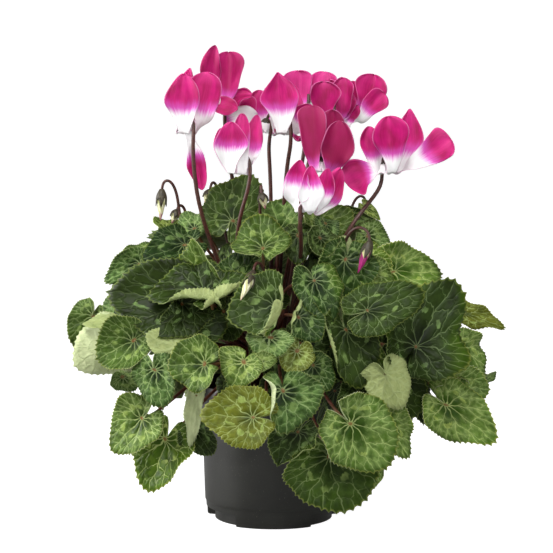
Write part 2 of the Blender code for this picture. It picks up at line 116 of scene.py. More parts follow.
# A leaf lies from its junction, where the petiole joins the blade, to its tip. Roll turns the blade
# about that line in degrees, width widens its outline, fold is its slope up from the midrib, cup and
# wave raise its rim by a share of its length, and sway bows the petiole. A curl is the way it lies from
# the tip in degrees, the share of the length where the blade starts to bend, how far it bends in
# degrees and the bend's radius as a share of the length. Notch is half the heart's notch in degrees.
Leaf = namedtuple("Leaf", "junction tip tone roll width fold cup sway wave curls notch",
                  defaults=(0.0, 1.0, 0.1, 0.0, 0.0, 0.10, (), 8.0))
# How young and bright, how silvered and how warm a leaf's green is.
TONES = {
    "black": (0.0, 0.05, 0.1),
    "dark": (0.05, 0.2, 0.1),
    "deep": (0.1, 0.35, 0.0),
    "silver": (0.2, 1.0, 0.0),
    "mid": (0.35, 0.5, 0.1),
    "light": (0.55, 0.7, 0.15),
    "pearl": (0.75, 1.0, 0.0),
    "bright": (0.9, 0.25, 0.2),
    "olive": (0.6, 0.3, 1.0),
    "pale": (1.0, 1.0, 0.0),
}
LEAVES = (
    Leaf((-94, -108, 94), (-118, -102, 71), "light", roll=-15, width=1.0, wave=0.08),
    Leaf((-78, -92, 76), (-91, -98, 40), "bright", roll=-20, width=1.08),
    Leaf((-84, -122, 132), (-79, -128, 106), "silver", roll=-10, width=1.1),
    Leaf((-49, -136, 138), (-74, -130, 136), "mid", roll=-10, width=1.3, wave=0.09),
    Leaf((-14, -152, 103), (-51, -149, 104), "olive", width=0.97, wave=0.03),
    Leaf((7, -141, 120), (10, -147, 90), "silver", width=1.4, curls=((-90, 0.15, 55, 0.3),)),
    Leaf((54, -133, 95), (84, -126, 63), "pearl", roll=10),
    Leaf((40, -112, 68), (50, -108, 27), "mid", roll=10, width=1.35, wave=0.10),
    Leaf((127, -75, 99), (161, -76, 72), "pale", roll=45, width=0.8),
    Leaf((103, -98, 146), (130, -84, 191), "dark", roll=-10, width=0.93, sway=10, fold=0.05,
         curls=((-70, 0.42, -35, 0.2), (80, 0.36, 18, 0.4))),
    Leaf((67, -126, 174), (107, -119, 187), "dark", roll=15, width=0.74, sway=10, wave=0.03),
    Leaf((29, -110, 194), (41, -120, 166), "deep", roll=10, width=0.9, sway=-20, fold=0.2, notch=18.0,
         curls=((90, 0.25, -70, 0.15),)),
    Leaf((2, -124, 178), (-31, -128, 169), "dark", roll=-20, width=1.25, wave=0.03,
         curls=((155, 0.06, 125, 0.09), (100, 0.45, 60, 0.15))),
    Leaf((-31, -30, 231), (-19, -17, 265), "mid", roll=25, width=1.1),
    Leaf((-8, -92, 216), (-11, -68, 235), "mid", width=1.1, wave=0.09),
    Leaf((-66, -98, 177), (-121, -93, 186), "black", roll=-26, width=0.85, fold=0.25, wave=0.03),
    Leaf((-66, -48, 214), (-96, -66, 207), "deep", roll=-40, width=0.85, sway=-12, wave=0.07),
    Leaf((51, -113, 159), (63, -118, 118), "black", roll=20, width=0.85, wave=0.03,
         curls=((-90, 0.3, 120, 0.1),)),
    Leaf((83, -84, 123), (106, -74, 90), "black", roll=28, wave=0.04),
    Leaf((88, -58, 195), (128, -46, 196), "pale", roll=36, width=0.78),
    Leaf((-134, -52, 162), (-145, -50, 138), "mid", roll=-55, width=1.0),
    Leaf((143, -34, 162), (174, -30, 151), "olive", roll=35, width=0.45),
    Leaf((34, -48, 229), (57, -34, 234), "light", roll=25),
    Leaf((-88, 82, 142), (-112, 98, 106), "mid", width=1.1),
    Leaf((-28, 124, 132), (-34, 140, 92), "silver", width=1.1),
    Leaf((44, 118, 124), (60, 134, 84), "light", width=1.1),
    Leaf((104, 74, 150), (134, 86, 116), "dark", width=1.1),
    Leaf((2, 80, 208), (0, 116, 192), "mid", width=1.1),
)
# Leaves that lie among those above and have no solid of their own, by where they stand.
MORE_LEAVES = {
    "upper_left": (
        Leaf((-80, -12, 223), (-91, -8, 232), "bright", width=1.1),
        Leaf((-95, -22, 206), (-116, -26, 204), "mid", roll=-60, width=0.75),
        Leaf((-100, -40, 200), (-126, -38, 186), "silver", roll=-62, width=0.7),
        Leaf((-48, -88, 195), (-55, -92, 225), "light", fold=0.5, roll=-30),
        Leaf((-59, -36, 225), (-69, -30, 237), "silver", roll=-20),
        Leaf((-28, -87, 191), (-19, -84, 214), "deep", roll=20),
        Leaf((-57, -96, 190), (-43, -98, 181), "dark", roll=15),
        Leaf((-64, -66, 203), (-78, -74, 199), "olive", roll=150, width=0.6),
        Leaf((-69, -84, 185), (-67, -78, 202), "dark", roll=-30),
    ),
    "upper_middle": (
        Leaf((4, -57, 226), (-2, -30, 246), "silver"),
        Leaf((-49, -110, 187), (-87, -112, 191), "dark", fold=0.2, curls=((90, 0.28, 115, 0.1),)),
        Leaf((-44, -112, 183), (-16, -108, 195), "dark", curls=((-80, 0.2, 125, 0.12),)),
        Leaf((53, -86, 207), (49, -92, 172), "deep", roll=10),
        Leaf((34, -78, 222), (35, -86, 205), "dark", cup=0.6),
        Leaf((47, -72, 217), (61, -74, 213), "light", roll=200),
        Leaf((-65, -106, 158), (-33, -104, 164), "black", roll=25, width=1.15),
        Leaf((-69, -117, 147), (-90, -112, 155), "bright", roll=180),
        Leaf((-17, -76, 204), (-1, -70, 220), "dark", roll=15),
        Leaf((18, -70, 223), (17, -76, 203), "dark"),
        Leaf((38, -56, 231), (46, -64, 219), "deep"),
        # These three leaves deep in the middle take the black tone as painted shade, which fills the gaps
        # between the leaves in front.
        Leaf((20, -20, 222), (29, -10, 198), "black", width=1.3),
        Leaf((-38, -22, 198), (-36, -18, 214), "black", width=1.2),
        Leaf((30, -20, 190), (29, -16, 206), "black", width=1.2),
    ),
    "upper_right": (
        Leaf((58, -16, 233), (78, -20, 228), "dark", roll=75, width=0.6),
        Leaf((70, -14, 240), (80, -18, 231), "bright", roll=60, width=0.6),
        Leaf((70, -43, 221), (88, -42, 212), "silver", roll=55),
        Leaf((64, -66, 206), (87, -72, 198), "bright", roll=45),
        Leaf((70, -84, 198), (88, -88, 190), "light", roll=40),
    ),
    "right": (
        Leaf((139, -54, 137), (153, -52, 108), "pearl", roll=45, width=0.9),
        Leaf((130, -66, 111), (159, -62, 108), "pearl", roll=20),
        Leaf((157, -40, 112), (168, -38, 116), "silver", roll=40),
        Leaf((80, -118, 128), (92, -112, 103), "bright", roll=215),
        Leaf((81, -103, 92), (98, -98, 65), "pearl", roll=22, width=0.75),
        Leaf((74, -79, 56), (74, -84, 39), "pearl", roll=20, width=0.7),
        Leaf((62, -100, 112), (67, -104, 84), "dark", roll=20),
        Leaf((71, -96, 142), (77, -104, 119), "bright", roll=30, width=0.5),
        Leaf((92, -84, 141), (115, -80, 124), "dark", roll=40),
        Leaf((100, -60, 118), (109, -58, 82), "dark", roll=20, width=0.8),
    ),
    "middle": (
        Leaf((17, -126, 146), (10, -132, 131), "olive", width=1.3),
        Leaf((28, -124, 135), (40, -122, 117), "deep", roll=20),
        Leaf((-21, -138, 140), (-30, -142, 123), "light", width=1.4, wave=0.09),
        Leaf((-9, -140, 139), (2, -138, 143), "light", fold=0.4),
        Leaf((-2, -130, 156), (-5, -136, 141), "silver", width=1.7, wave=0.03),
        Leaf((-25, -120, 126), (-34, -122, 116), "dark"),
        Leaf((18, -122, 87), (3, -124, 63), "dark", width=1.1, curls=((70, 0.35, 110, 0.1),)),
        Leaf((19, -110, 149), (44, -106, 157), "dark", roll=20),
        Leaf((18, -122, 170), (34, -124, 153), "deep", roll=15, curls=((-150, 0.1, 100, 0.12),)),
        Leaf((-36, -92, 170), (-29, -94, 148), "black", width=1.1),
    ),
    "left": (
        Leaf((-100, -102, 150), (-127, -96, 135), "mid", roll=-30, cup=0.3, wave=0.08),
        Leaf((-111, -76, 163), (-139, -70, 156), "bright", roll=165, width=0.6),
        Leaf((-114, -74, 164), (-120, -66, 178), "silver", width=1.5, roll=-30),
        Leaf((-117, -78, 145), (-145, -70, 128), "pale", roll=130, width=1.2),
        Leaf((-57, -98, 84), (-43, -104, 68), "dark"),
        Leaf((-55, -116, 112), (-60, -110, 75), "pale", roll=160, width=0.3),
        Leaf((-110, -84, 121), (-101, -80, 111), "silver", roll=-20, width=1.2),
    ),
}

# A row of leaves round the plant's dome: the height angle of their junctions in degrees, how many there
# are, the share of the dome's size that they stand at, the compass angles that they lie between, their
# tones in turn and their level of detail. Back ones close the plant, and inner ones darken it: partly
# by the shade they cast, and partly by their black and dark tones, which are painted shade.
Ring = namedtuple("Ring", "height count layer first last tones detail")
RINGS = {
    "back_low": Ring(-20, 6, 0.94, 40, 124, ("mid", "silver", "light", "dark"), PLAIN),
    "back_middle": Ring(6, 8, 0.96, 22, 160, ("silver", "dark", "mid", "light"), PLAIN),
    "back_high": Ring(34, 7, 0.93, 15, 165, ("dark", "mid", "silver"), PLAIN),
    "back_top": Ring(60, 5, 0.95, 20, 160, ("mid", "deep", "light"), PLAIN),
    "inner_low": Ring(-15, 12, 0.66, 236, 560, ("black", "dark"), ROUGH),
    "inner_middle": Ring(15, 14, 0.70, 0, 360, ("black", "dark"), ROUGH),
    "inner_high": Ring(45, 10, 0.74, 0, 360, ("black", "dark", "deep"), ROUGH),
}

# A petal runs from the mouth of its flower to its tip, given from the middle of the mouth. Face is the
# way that its broad side turns to, or None where it stays as its claw stands. White is the share of its
# length that is white, point draws its end to a point, or squares it where negative, hollow bends its
# edges, widest is the share of its length where it is widest, and bow bends its middle aside.
FRONT = (0, -1, 0.2)
Petal = namedtuple("Petal", "tip width face white point hollow widest bow",
                   defaults=(None, 0.45, 0.2, 0.25, 0.58, (0, 0, 0)))
# A flower hangs by its stalk with its mouth down. Side is the compass angle of the stalk about it,
# up is the way that its mouth turns its back to, and via is a point on the stalk. Age darkens its
# petals, and lightens them where negative.
Flower = namedtuple("Flower", "mouth side up via petals age", defaults=(0.0,))
FLOWERS = (
    Flower((-65, -45, 298), -50, (0.1, 0.1, 1), (-54, -46, 237), (
        Petal((-1, -8, 43), 27, FRONT, 0.42, point=0.45, widest=0.5),
        Petal((17, -1, 44), 28, FRONT, 0.42, point=0.0, widest=0.6),
        Petal((12, 1, -43), 15, FRONT, 0.38, point=0.5),
        Petal((3, 14, 47), 18, FRONT, point=0.8),
        Petal((-8, 14, 36), 20))),
    Flower((-43, -6, 318), 50, (0.1, 0.2, 1), (-32, 6, 262), (
        Petal((-1, -9, 44), 16, FRONT, 0.2, point=0.3),
        Petal((9, 5, 39), 23, FRONT, 0.2, point=-0.2, widest=0.62, bow=(3, 0, -2)),
        Petal((27, -6, 6), 13, (0, -1, 0.5), 0.1, point=0.4, widest=0.5, bow=(0, 0, 4)),
        Petal((16, -12, -4), 17, (0, -1, 0.6), 0.2, point=0.5),
        Petal((-6, 14, 26), 18)), 0.45),
    Flower((-7, 16, 297), -60, (0.2, 0.1, 1), (-2, 6, 250), (
        Petal((-21, -3, 25), 25, FRONT, 0.3, point=0.0, widest=0.7),
        Petal((-4, 9, 31), 20, FRONT),
        Petal((-31, -8, 4), 27, (0, -1, 0.3), 0.85, point=0.1, widest=0.5, bow=(2, -2, 4)),
        Petal((10, 16, 26), 20),
        Petal((12, 0, -1), 12, (0, 0, 1)))),
    Flower((8, -42, 298), -60, (0, 0.1, 1), (9, -42, 262), (
        Petal((-5, -6, 44), 31, FRONT, 0.4, point=1.0, widest=0.55, hollow=0.2, bow=(1.5, 0, 0)),
        Petal((-14, 14, 32), 20),
        Petal((17, -6, -2), 13, (0, -0.4, 1), 0.1, bow=(0, 0, -5)),
        Petal((20, 4, 20), 19, FRONT, 0.5),
        Petal((8, 20, 34), 20))),
    Flower((27, 30, 314), -90, (0, 0.1, 1), (16, 14, 230), (
        Petal((-8, -4, 29), 24, FRONT, 0.2, point=0.0, widest=0.72),
        Petal((13, 2, 28), 20, FRONT, 0.2, point=0.0, widest=0.75),
        Petal((0, 15, 26), 20, FRONT),
        Petal((-18, 8, 16), 18),
        Petal((18, 8, 14), 18, FRONT)), -0.3),
    Flower((-26, -60, 269), -20, (0.1, 0.1, 1), (-28, -52, 215), (
        Petal((-4, -7, 37), 25, FRONT, 0.54, point=0.3, widest=0.55, hollow=0.35),
        Petal((3, -2, 43), 13, FRONT, 0.5),
        Petal((14, 3, 42), 14, FRONT, 0.45, point=0.4, widest=0.62),
        Petal((-12, 8, 32), 14, FRONT),
        Petal((4, 16, 36), 18)), -0.1),
    Flower((44, -20, 307), -80, (0, 0.1, 1), (30, -20, 230), (
        Petal((-6, -6, 28), 24, FRONT, 0.15, point=0.0, widest=0.68),
        Petal((8, 0, 31), 18, FRONT, 0.1, point=0.4, widest=0.7),
        Petal((-2, 15, 29), 20),
        Petal((13, 6, 20), 15, FRONT, 0.2),
        Petal((-14, 6, 16), 18)), 0.2),
    Flower((59, 4, 305), 180, (-0.2, 0.1, 1), (44, 2, 230), (
        Petal((18, 3, 35), 25, FRONT, 0.3, point=0.0, widest=0.7),
        Petal((25, -8, 21), 18, FRONT, 0.42, point=-0.3, widest=0.75),
        Petal((1, 10, 30), 20, FRONT),
        Petal((-10, 10, 20), 18),
        Petal((5, -9, 12), 12, FRONT, 0.3)), 0.1),
    Flower((34, -66, 271), -160, (0, 0.1, 1), (17, -54, 215), (
        Petal((-6, -4, 47), 23, FRONT, 0.1, point=-0.1, widest=0.76, bow=(-1, 0, 0)),
        Petal((9, 0, 44), 19, FRONT, 0.12, point=0.0, widest=0.75),
        Petal((15, -9, 36), 25, FRONT, 0.12, point=0.1, widest=0.5, bow=(1, 0, -4)),
        Petal((-5, 16, 38), 20, white=0.2),
        Petal((12, 16, 38), 20, white=0.2)), 0.95),
    Flower((24, -98, 244), -120, (0, 0.1, 1), (20, -72, 205), (
        Petal((-5, -5, 36), 22, FRONT, 0.6, point=0.6, widest=0.38),
        Petal((3, -8, 32), 19, FRONT, 0.6, point=0.6, widest=0.38),
        Petal((15, -5, 30), 16, FRONT, 0.48, point=0.4, widest=0.45),
        Petal((24, -1, 30), 18, FRONT, 0.42, point=0.2, widest=0.5, bow=(2, 0, -4)),
        Petal((-6, 8, 20), 12, FRONT, 0.3))),
    Flower((84, -50, 269), 110, (-0.1, 0.1, 1), (52, -60, 222), (
        Petal((0, -8, 41), 27, FRONT, 0.34, point=0.0, widest=0.6, bow=(1, 0, 0)),
        Petal((-30, -8, -9), 28, FRONT, 0.36, point=-0.1, widest=0.7, bow=(2, 0, 5)),
        Petal((-13, 10, 33), 17, FRONT, 0.4),
        Petal((17, 8, 46), 23, FRONT, 0.42, point=0.8, widest=0.55, bow=(5, 0, -2)),
        Petal((47, 0, 24), 24, (0, -1, 0.3), 0.55, point=-0.4, widest=0.8))),
)

# A bud hangs by a hooked stalk: the hook's bend, the calyx below it and the tip of the furled petals.
# Blush is how far the magenta runs up from the tip.
Bud = namedtuple("Bud", "bend calyx tip via blush", defaults=(0.15,))
BUDS = (
    Bud((-80, -22, 260), (-84, -24, 251), (-85, -24, 231), (-71, -20, 232)),
    Bud((-70, -12, 241), (-74, -13, 235), (-77, -14, 228), (-66, -8, 228)),
    Bud((-44, -8, 258), (-49, -10, 250), (-52, -11, 242), (-41, -6, 236)),
    Bud((-10, -52, 258), (-8, -56, 250), (-6, -58, 242), (-10, -47, 236)),
    Bud((-7, -104, 206), (-15, -118, 199), (-23, -134, 183), (-5, -90, 182), 0.0),
    Bud((66, -88, 230), (69, -90, 218), (61, -93, 198), (50, -76, 204), 0.6),
    Bud((66, 16, 246), (70, 14, 238), (66, 12, 230), (58, 14, 220)),
)


# ---------------------------------------------------------------- curves and surfaces


def unit(vectors):
    """Scale each vector to length one."""
    return vectors / np.linalg.norm(vectors, axis=-1, keepdims=True)


def smooth_step(low, high, values):
    """Rise from 0 at low to 1 at high, as 3x² - 2x³."""
    x = np.clip((values - low) / (high - low), 0.0, 1.0)
    return x * x * (3.0 - 2.0 * x)


def bezier(points, t):
    """Points at every t on a Bezier curve: neighbours are blended by t until one is left."""
    rows = [np.broadcast_to(np.asarray(point, float), t.shape + (3,)) for point in points]
    while len(rows) > 1:
        rows = [first + (second - first) * t[..., None] for first, second in zip(rows, rows[1:])]
    return rows[0]


def through(points, t):
    """Points at every t on the Catmull-Rom curve through all the points."""
    points = np.asarray(points, float)
    spans = len(points) - 1
    index = np.minimum((t * spans).astype(int), spans - 1)
    u = (t * spans - index)[..., None]
    before = points[np.maximum(index - 1, 0)]
    start = points[index]
    end = points[index + 1]
    after = points[np.minimum(index + 2, spans)]
    return 0.5 * (
        2 * start
        + (end - before) * u
        + (2 * before - 5 * start + 4 * end - after) * u**2
        + (3 * start - before - 3 * end + after) * u**3
    )


def eased(path, times):
    """Round a path off: every point but the ends moves half way to the mean of its neighbours."""
    path = path.copy()
    for _ in range(times):
        path[1:-1] = (path[:-2] + 2.0 * path[1:-1] + path[2:]) / 4.0
    return path


def grid_faces(rows, columns, closed=False):
    """Triangles of a grid of points, rows by columns, whose columns may close into a ring."""
    row, column = np.meshgrid(np.arange(rows - 1), np.arange(columns - (not closed)), indexing="ij")
    following = (column + 1) % columns
    a = (row * columns + column).ravel()
    b = (row * columns + following).ravel()
    c = ((row + 1) * columns + following).ravel()
    d = ((row + 1) * columns + column).ravel()
    return np.concatenate([np.stack([a, b, c], 1), np.stack([a, c, d], 1)])


def fan_faces(centre, ring, flip=False):
    """Triangles from one point to each side of a ring."""
    following = np.roll(ring, -1)
    fan = np.stack([np.full(len(ring), centre), ring, following], 1)
    return fan[:, ::-1] if flip else fan


def capped_faces(rows, sides):
    """Triangles of rings of points from end to end, and of the pole at each end, which come last."""
    ring = np.arange(sides)
    return np.concatenate([
        grid_faces(rows, sides, closed=True),
        fan_faces(rows * sides, ring, flip=True),
        fan_faces(rows * sides + 1, ring + (rows - 1) * sides),
    ])


def full_turn(sides):
    """Evenly spaced angles round a full turn."""
    return np.linspace(0.0, math.tau, sides, endpoint=False)


def circles(first, second, turn):
    """Points on unit circles: one way by the cosine of each angle, plus the other by its sine."""
    return first * np.cos(turn)[..., None] + second * np.sin(turn)[..., None]


def ways_about(axis):
    """Two ways square to an axis and to each other."""
    first = unit(np.cross(axis, (0.3, 1.0, 0.1)))
    return first, np.cross(axis, first)


def vertex_normals(points, faces):
    """Each point's way out: the sum of its triangles' cross products, made a unit vector."""
    a, b, c = (points[faces[:, corner]] for corner in range(3))
    across = np.cross(b - a, c - a)
    total = np.zeros_like(points)
    for corner in range(3):
        np.add.at(total, faces[:, corner], across)
    return unit(total + 1e-12)


def shell(points, faces, border, thickness):
    """Close a sheet: a face and a back, each half the thickness along the normals, and a rim between.

    Returns the points, the faces of the face, and the faces of the back and rim.
    """
    half = vertex_normals(points, faces) * thickness * 0.5
    count = len(points)
    following = np.roll(border, -1)
    rim = np.concatenate([
        np.stack([following, border, border + count], 1),
        np.stack([following, border + count, following + count], 1),
    ])
    back = np.concatenate([faces[:, ::-1] + count, rim])
    return np.concatenate([points + half, points - half]), faces, back


def tube(path, radii, sides):
    """A round rod: circles of the given radii set square to the path, with a pole at each end.

    The circles are drawn from the normal of the plane that the path lies nearest to, so they don't twist.
    """
    ways = unit(np.gradient(path, axis=0))
    plane = np.linalg.svd(path - path.mean(0))[2][2]
    first = unit(plane - ways * (ways @ plane)[:, None])
    second = np.cross(ways, first)
    radii = np.asarray(radii)
    ring = circles(first[:, None], second[:, None], full_turn(sides))
    points = (path[:, None] + ring * radii[:, None, None]).reshape(-1, 3)
    poles = path[[0, -1]] + ways[[0, -1]] * np.array([[-0.4], [0.4]]) * radii[[0, -1], None]
    along = np.concatenate([np.repeat(np.linspace(0.0, 1.0, len(path)), sides), [0.0, 1.0]])
    return np.concatenate([points, poles]), capped_faces(len(path), sides), along


def turned(profile, sides, shape):
    """A turned solid: a profile of (radius, height) rows that starts and ends on the axis, carried round Z.

    Shape takes and returns the points as (rows, sides, 3).
    """
    profile = np.asarray(profile, float)
    radius, height = profile[1:-1, 0, None], profile[1:-1, 1, None]
    east, north = np.eye(3)[:2]
    points = circles(east, north, full_turn(sides)) * radius[..., None]
    points[..., 2] = height
    poles = [(0.0, 0.0, profile[0, 1]), (0.0, 0.0, profile[-1, 1])]
    return np.concatenate([shape(points).reshape(-1, 3), poles]), capped_faces(len(radius), sides)


def draws(seed, more=0):
    """A source of random draws that are the same for the same seed."""
    return np.random.default_rng(int(seed * 1e6) + more)


def hills(points, scale, seed):
    """Smooth bumps, mostly between -1 and 1: sine waves of a scale, half it and a quarter, added up."""
    rng = np.random.default_rng(seed)
    total = np.zeros(points.shape[:-1])
    for octave in range(3):
        for _ in range(5):
            way = unit(rng.normal(size=3)) * 2.0**octave / scale
            total += np.sin(points @ way + rng.uniform(0.0, math.tau)) / 2.0**octave
    return total / 4.0


# ---------------------------------------------------------------- pieces


def shape_of(points, faces, slot=0, chart=(0.0, 0.0), **looks):
    """One part of a piece: its points and faces, the number of its material, its chart and its looks."""
    return SimpleNamespace(points=points, faces=faces, slot=slot, chart=chart, looks=looks)


def add_piece(name, shapes, materials, nodes=(), crease=None):
    """Join shapes into one mesh piece that rides on the body and stands for the nodes.

    The chart becomes the piece's UV map, and each named value a number on every point. The slot is the
    material slot that the piece belongs to, and edges sharper than the crease, in degrees, stay sharp.
    """
    points = np.concatenate([shape.points for shape in shapes]) * MM
    counts = np.array([len(shape.points) for shape in shapes])
    starts = np.concatenate([[0], np.cumsum(counts)[:-1]])
    faces = np.concatenate([shape.faces + start for shape, start in zip(shapes, starts)])
    mesh = bpy.data.meshes.new(name)
    mesh.vertices.add(len(points))
    mesh.vertices.foreach_set("co", points.astype(np.float32).ravel())
    mesh.loops.add(faces.size)
    mesh.loops.foreach_set("vertex_index", faces.astype(np.int32).ravel())
    mesh.polygons.add(len(faces))
    mesh.polygons.foreach_set("loop_start", np.arange(0, faces.size, 3, dtype=np.int32))
    slots = np.concatenate([np.broadcast_to(shape.slot, len(shape.faces)) for shape in shapes])
    mesh.polygons.foreach_set("material_index", slots.astype(np.int32))
    mesh.update()
    charts = [np.broadcast_to(shape.chart, (len(shape.points), 2)) for shape in shapes]
    chart = np.concatenate(charts)[faces.ravel()]
    mesh.uv_layers.new(name="chart").data.foreach_set("uv", chart.astype(np.float32).ravel())
    for label in sorted({label for shape in shapes for label in shape.looks}):
        values = [np.broadcast_to(shape.looks.get(label, 0.0), len(shape.points)) for shape in shapes]
        data = mesh.attributes.new(label, "FLOAT", "POINT").data
        data.foreach_set("value", np.concatenate(values).astype(np.float32))
    mesh.shade_smooth()
    if crease:
        mesh.set_sharp_from_angle(angle=math.radians(crease))
    for material in materials:
        mesh.materials.append(material)
    piece = bpy.data.objects.new(name, mesh)
    bpy.context.scene.collection.objects.link(piece)
    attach(piece, BODY)
    if nodes:
        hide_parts(*nodes)


# ---------------------------------------------------------------- materials


def srgb(code):
    """Turn a hex colour to linear light."""
    values = [int(code[at : at + 2], 16) / 255.0 for at in (1, 3, 5)]
    return (*(v / 12.92 if v <= 0.04045 else ((v + 0.055) / 1.055) ** 2.4 for v in values), 1.0)


def node(tree, kind, *inputs, out=0, **more):
    """Add a node and return one of its outputs, if it has any.

    A word after the kind is a MapRange's interpolation or another node's operation. An input is a
    number, a vector, a hex colour or another node's output. A keyword that starts with a capital is an
    input's name, with _ for a space, and any other keyword is a setting.
    """
    kind, _, mode = kind.partition(" ")
    made = tree.nodes.new("ShaderNode" + kind)
    if mode:
        setattr(made, "interpolation_type" if kind == "MapRange" else "operation", mode)
    for label, value in [*enumerate(inputs), *more.items()]:
        if label in more and label[0].islower():
            setattr(made, label, value)
            continue
        socket = made.inputs[label.replace("_", " ") if label in more else label]
        if isinstance(value, bpy.types.NodeSocket):
            tree.links.new(value, socket)
        else:
            socket.default_value = srgb(value) if isinstance(value, str) else value
    return made.outputs[out] if made.outputs else None


def new_material(name):
    """Return a new material without nodes, and the function that adds one to it."""
    material = bpy.data.materials.new(name)
    material.use_nodes = True
    material.node_tree.nodes.clear()
    return material, partial(node, material.node_tree)


def leaf_map(n):
    """Nodes that both sides of a leaf share, by name: its named values, its place and its veins.

    The place is the chart bent by two slow noises. Apart is the angle from the nearest main vein. Big,
    small and away are the distances in millimetres from the nearest large vein, small vein and either.
    """
    looks = {name: n("Attribute", out="Fac", attribute_name=name)
             for name in ("seed", "rho", "fresh", "silver", "warm", "length")}
    chart = n("UVMap", uv_map="chart")
    spot = n("VectorMath", chart, n("CombineXYZ", 0.0, 0.0, n("Math MULTIPLY", looks["seed"], 17.0)))
    place = chart
    for scale, reach in ((3.0, 0.17), (9.0, 0.06)):
        wander = n("TexNoise", out="Color", Vector=spot, Scale=scale, Detail=1.0)
        wander = n("VectorMath SUBTRACT", wander, (0.5, 0.5, 0.5))
        place = n("VectorMath", place, n("VectorMath MULTIPLY", wander, (reach, reach, 0.0)))
    x = n("SeparateXYZ", place)
    turn = n("Math ARCTAN2", x.node.outputs["Y"], x)
    reach_mm = n("Math MULTIPLY", n("VectorMath LENGTH", place, out="Value"), looks["length"])
    half = MAIN_VEIN_STEP / 2
    drift = n("TexNoise", Vector=spot, Scale=5.0, Detail=1.0)
    rho = n("Math ADD", looks["rho"], n("MapRange", drift, 0.3, 0.7, -0.05, 0.05))
    apart = n("Math PINGPONG", turn, half)
    closer = n("Math PINGPONG", apart, half / 2)

    def line(angle, target, first, last):
        """Millimetres from the line where the angle is the target, for rho between first and last."""
        off = n("Math MULTIPLY", n("Math ABSOLUTE", n("Math SUBTRACT", angle, target)), reach_mm)
        outside = n("Math ABSOLUTE", n("Math SUBTRACT", rho, (first + last) / 2))
        outside = n("MapRange", outside, (last - first) / 2, (last - first) / 2 + 0.03, 0.0, 6.0)
        return n("Math ADD", off, outside)

    def way(first, last, across):
        """The angle of a vein that crosses that much of a bay while rho goes from first to last."""
        return n("MapRange", rho, first, last, 0.0, across)

    # Main veins fork half way out, the forks meet in the middle of each bay, and so on at half the size.
    big = line(apart, 0.0, -0.2, 1.2)
    big = n("Math MINIMUM", big, line(apart, way(0.46, 0.68, half), 0.46, 0.68))
    big = n("Math MINIMUM", big, line(apart, half, 0.68, 1.2))
    small = line(closer, half / 2, 0.86, 1.2)
    small = n("Math MINIMUM", small, line(closer, way(0.72, 0.86, half / 2), 0.72, 0.86))
    small = n("Math MINIMUM", small, line(apart, way(0.27, 0.44, half * 0.6), 0.30, 0.40))
    away = n("Math MINIMUM", big, small)
    return SimpleNamespace(
        **looks, spot=spot, apart=apart, away=away, big=big, small=small, reach_mm=reach_mm)


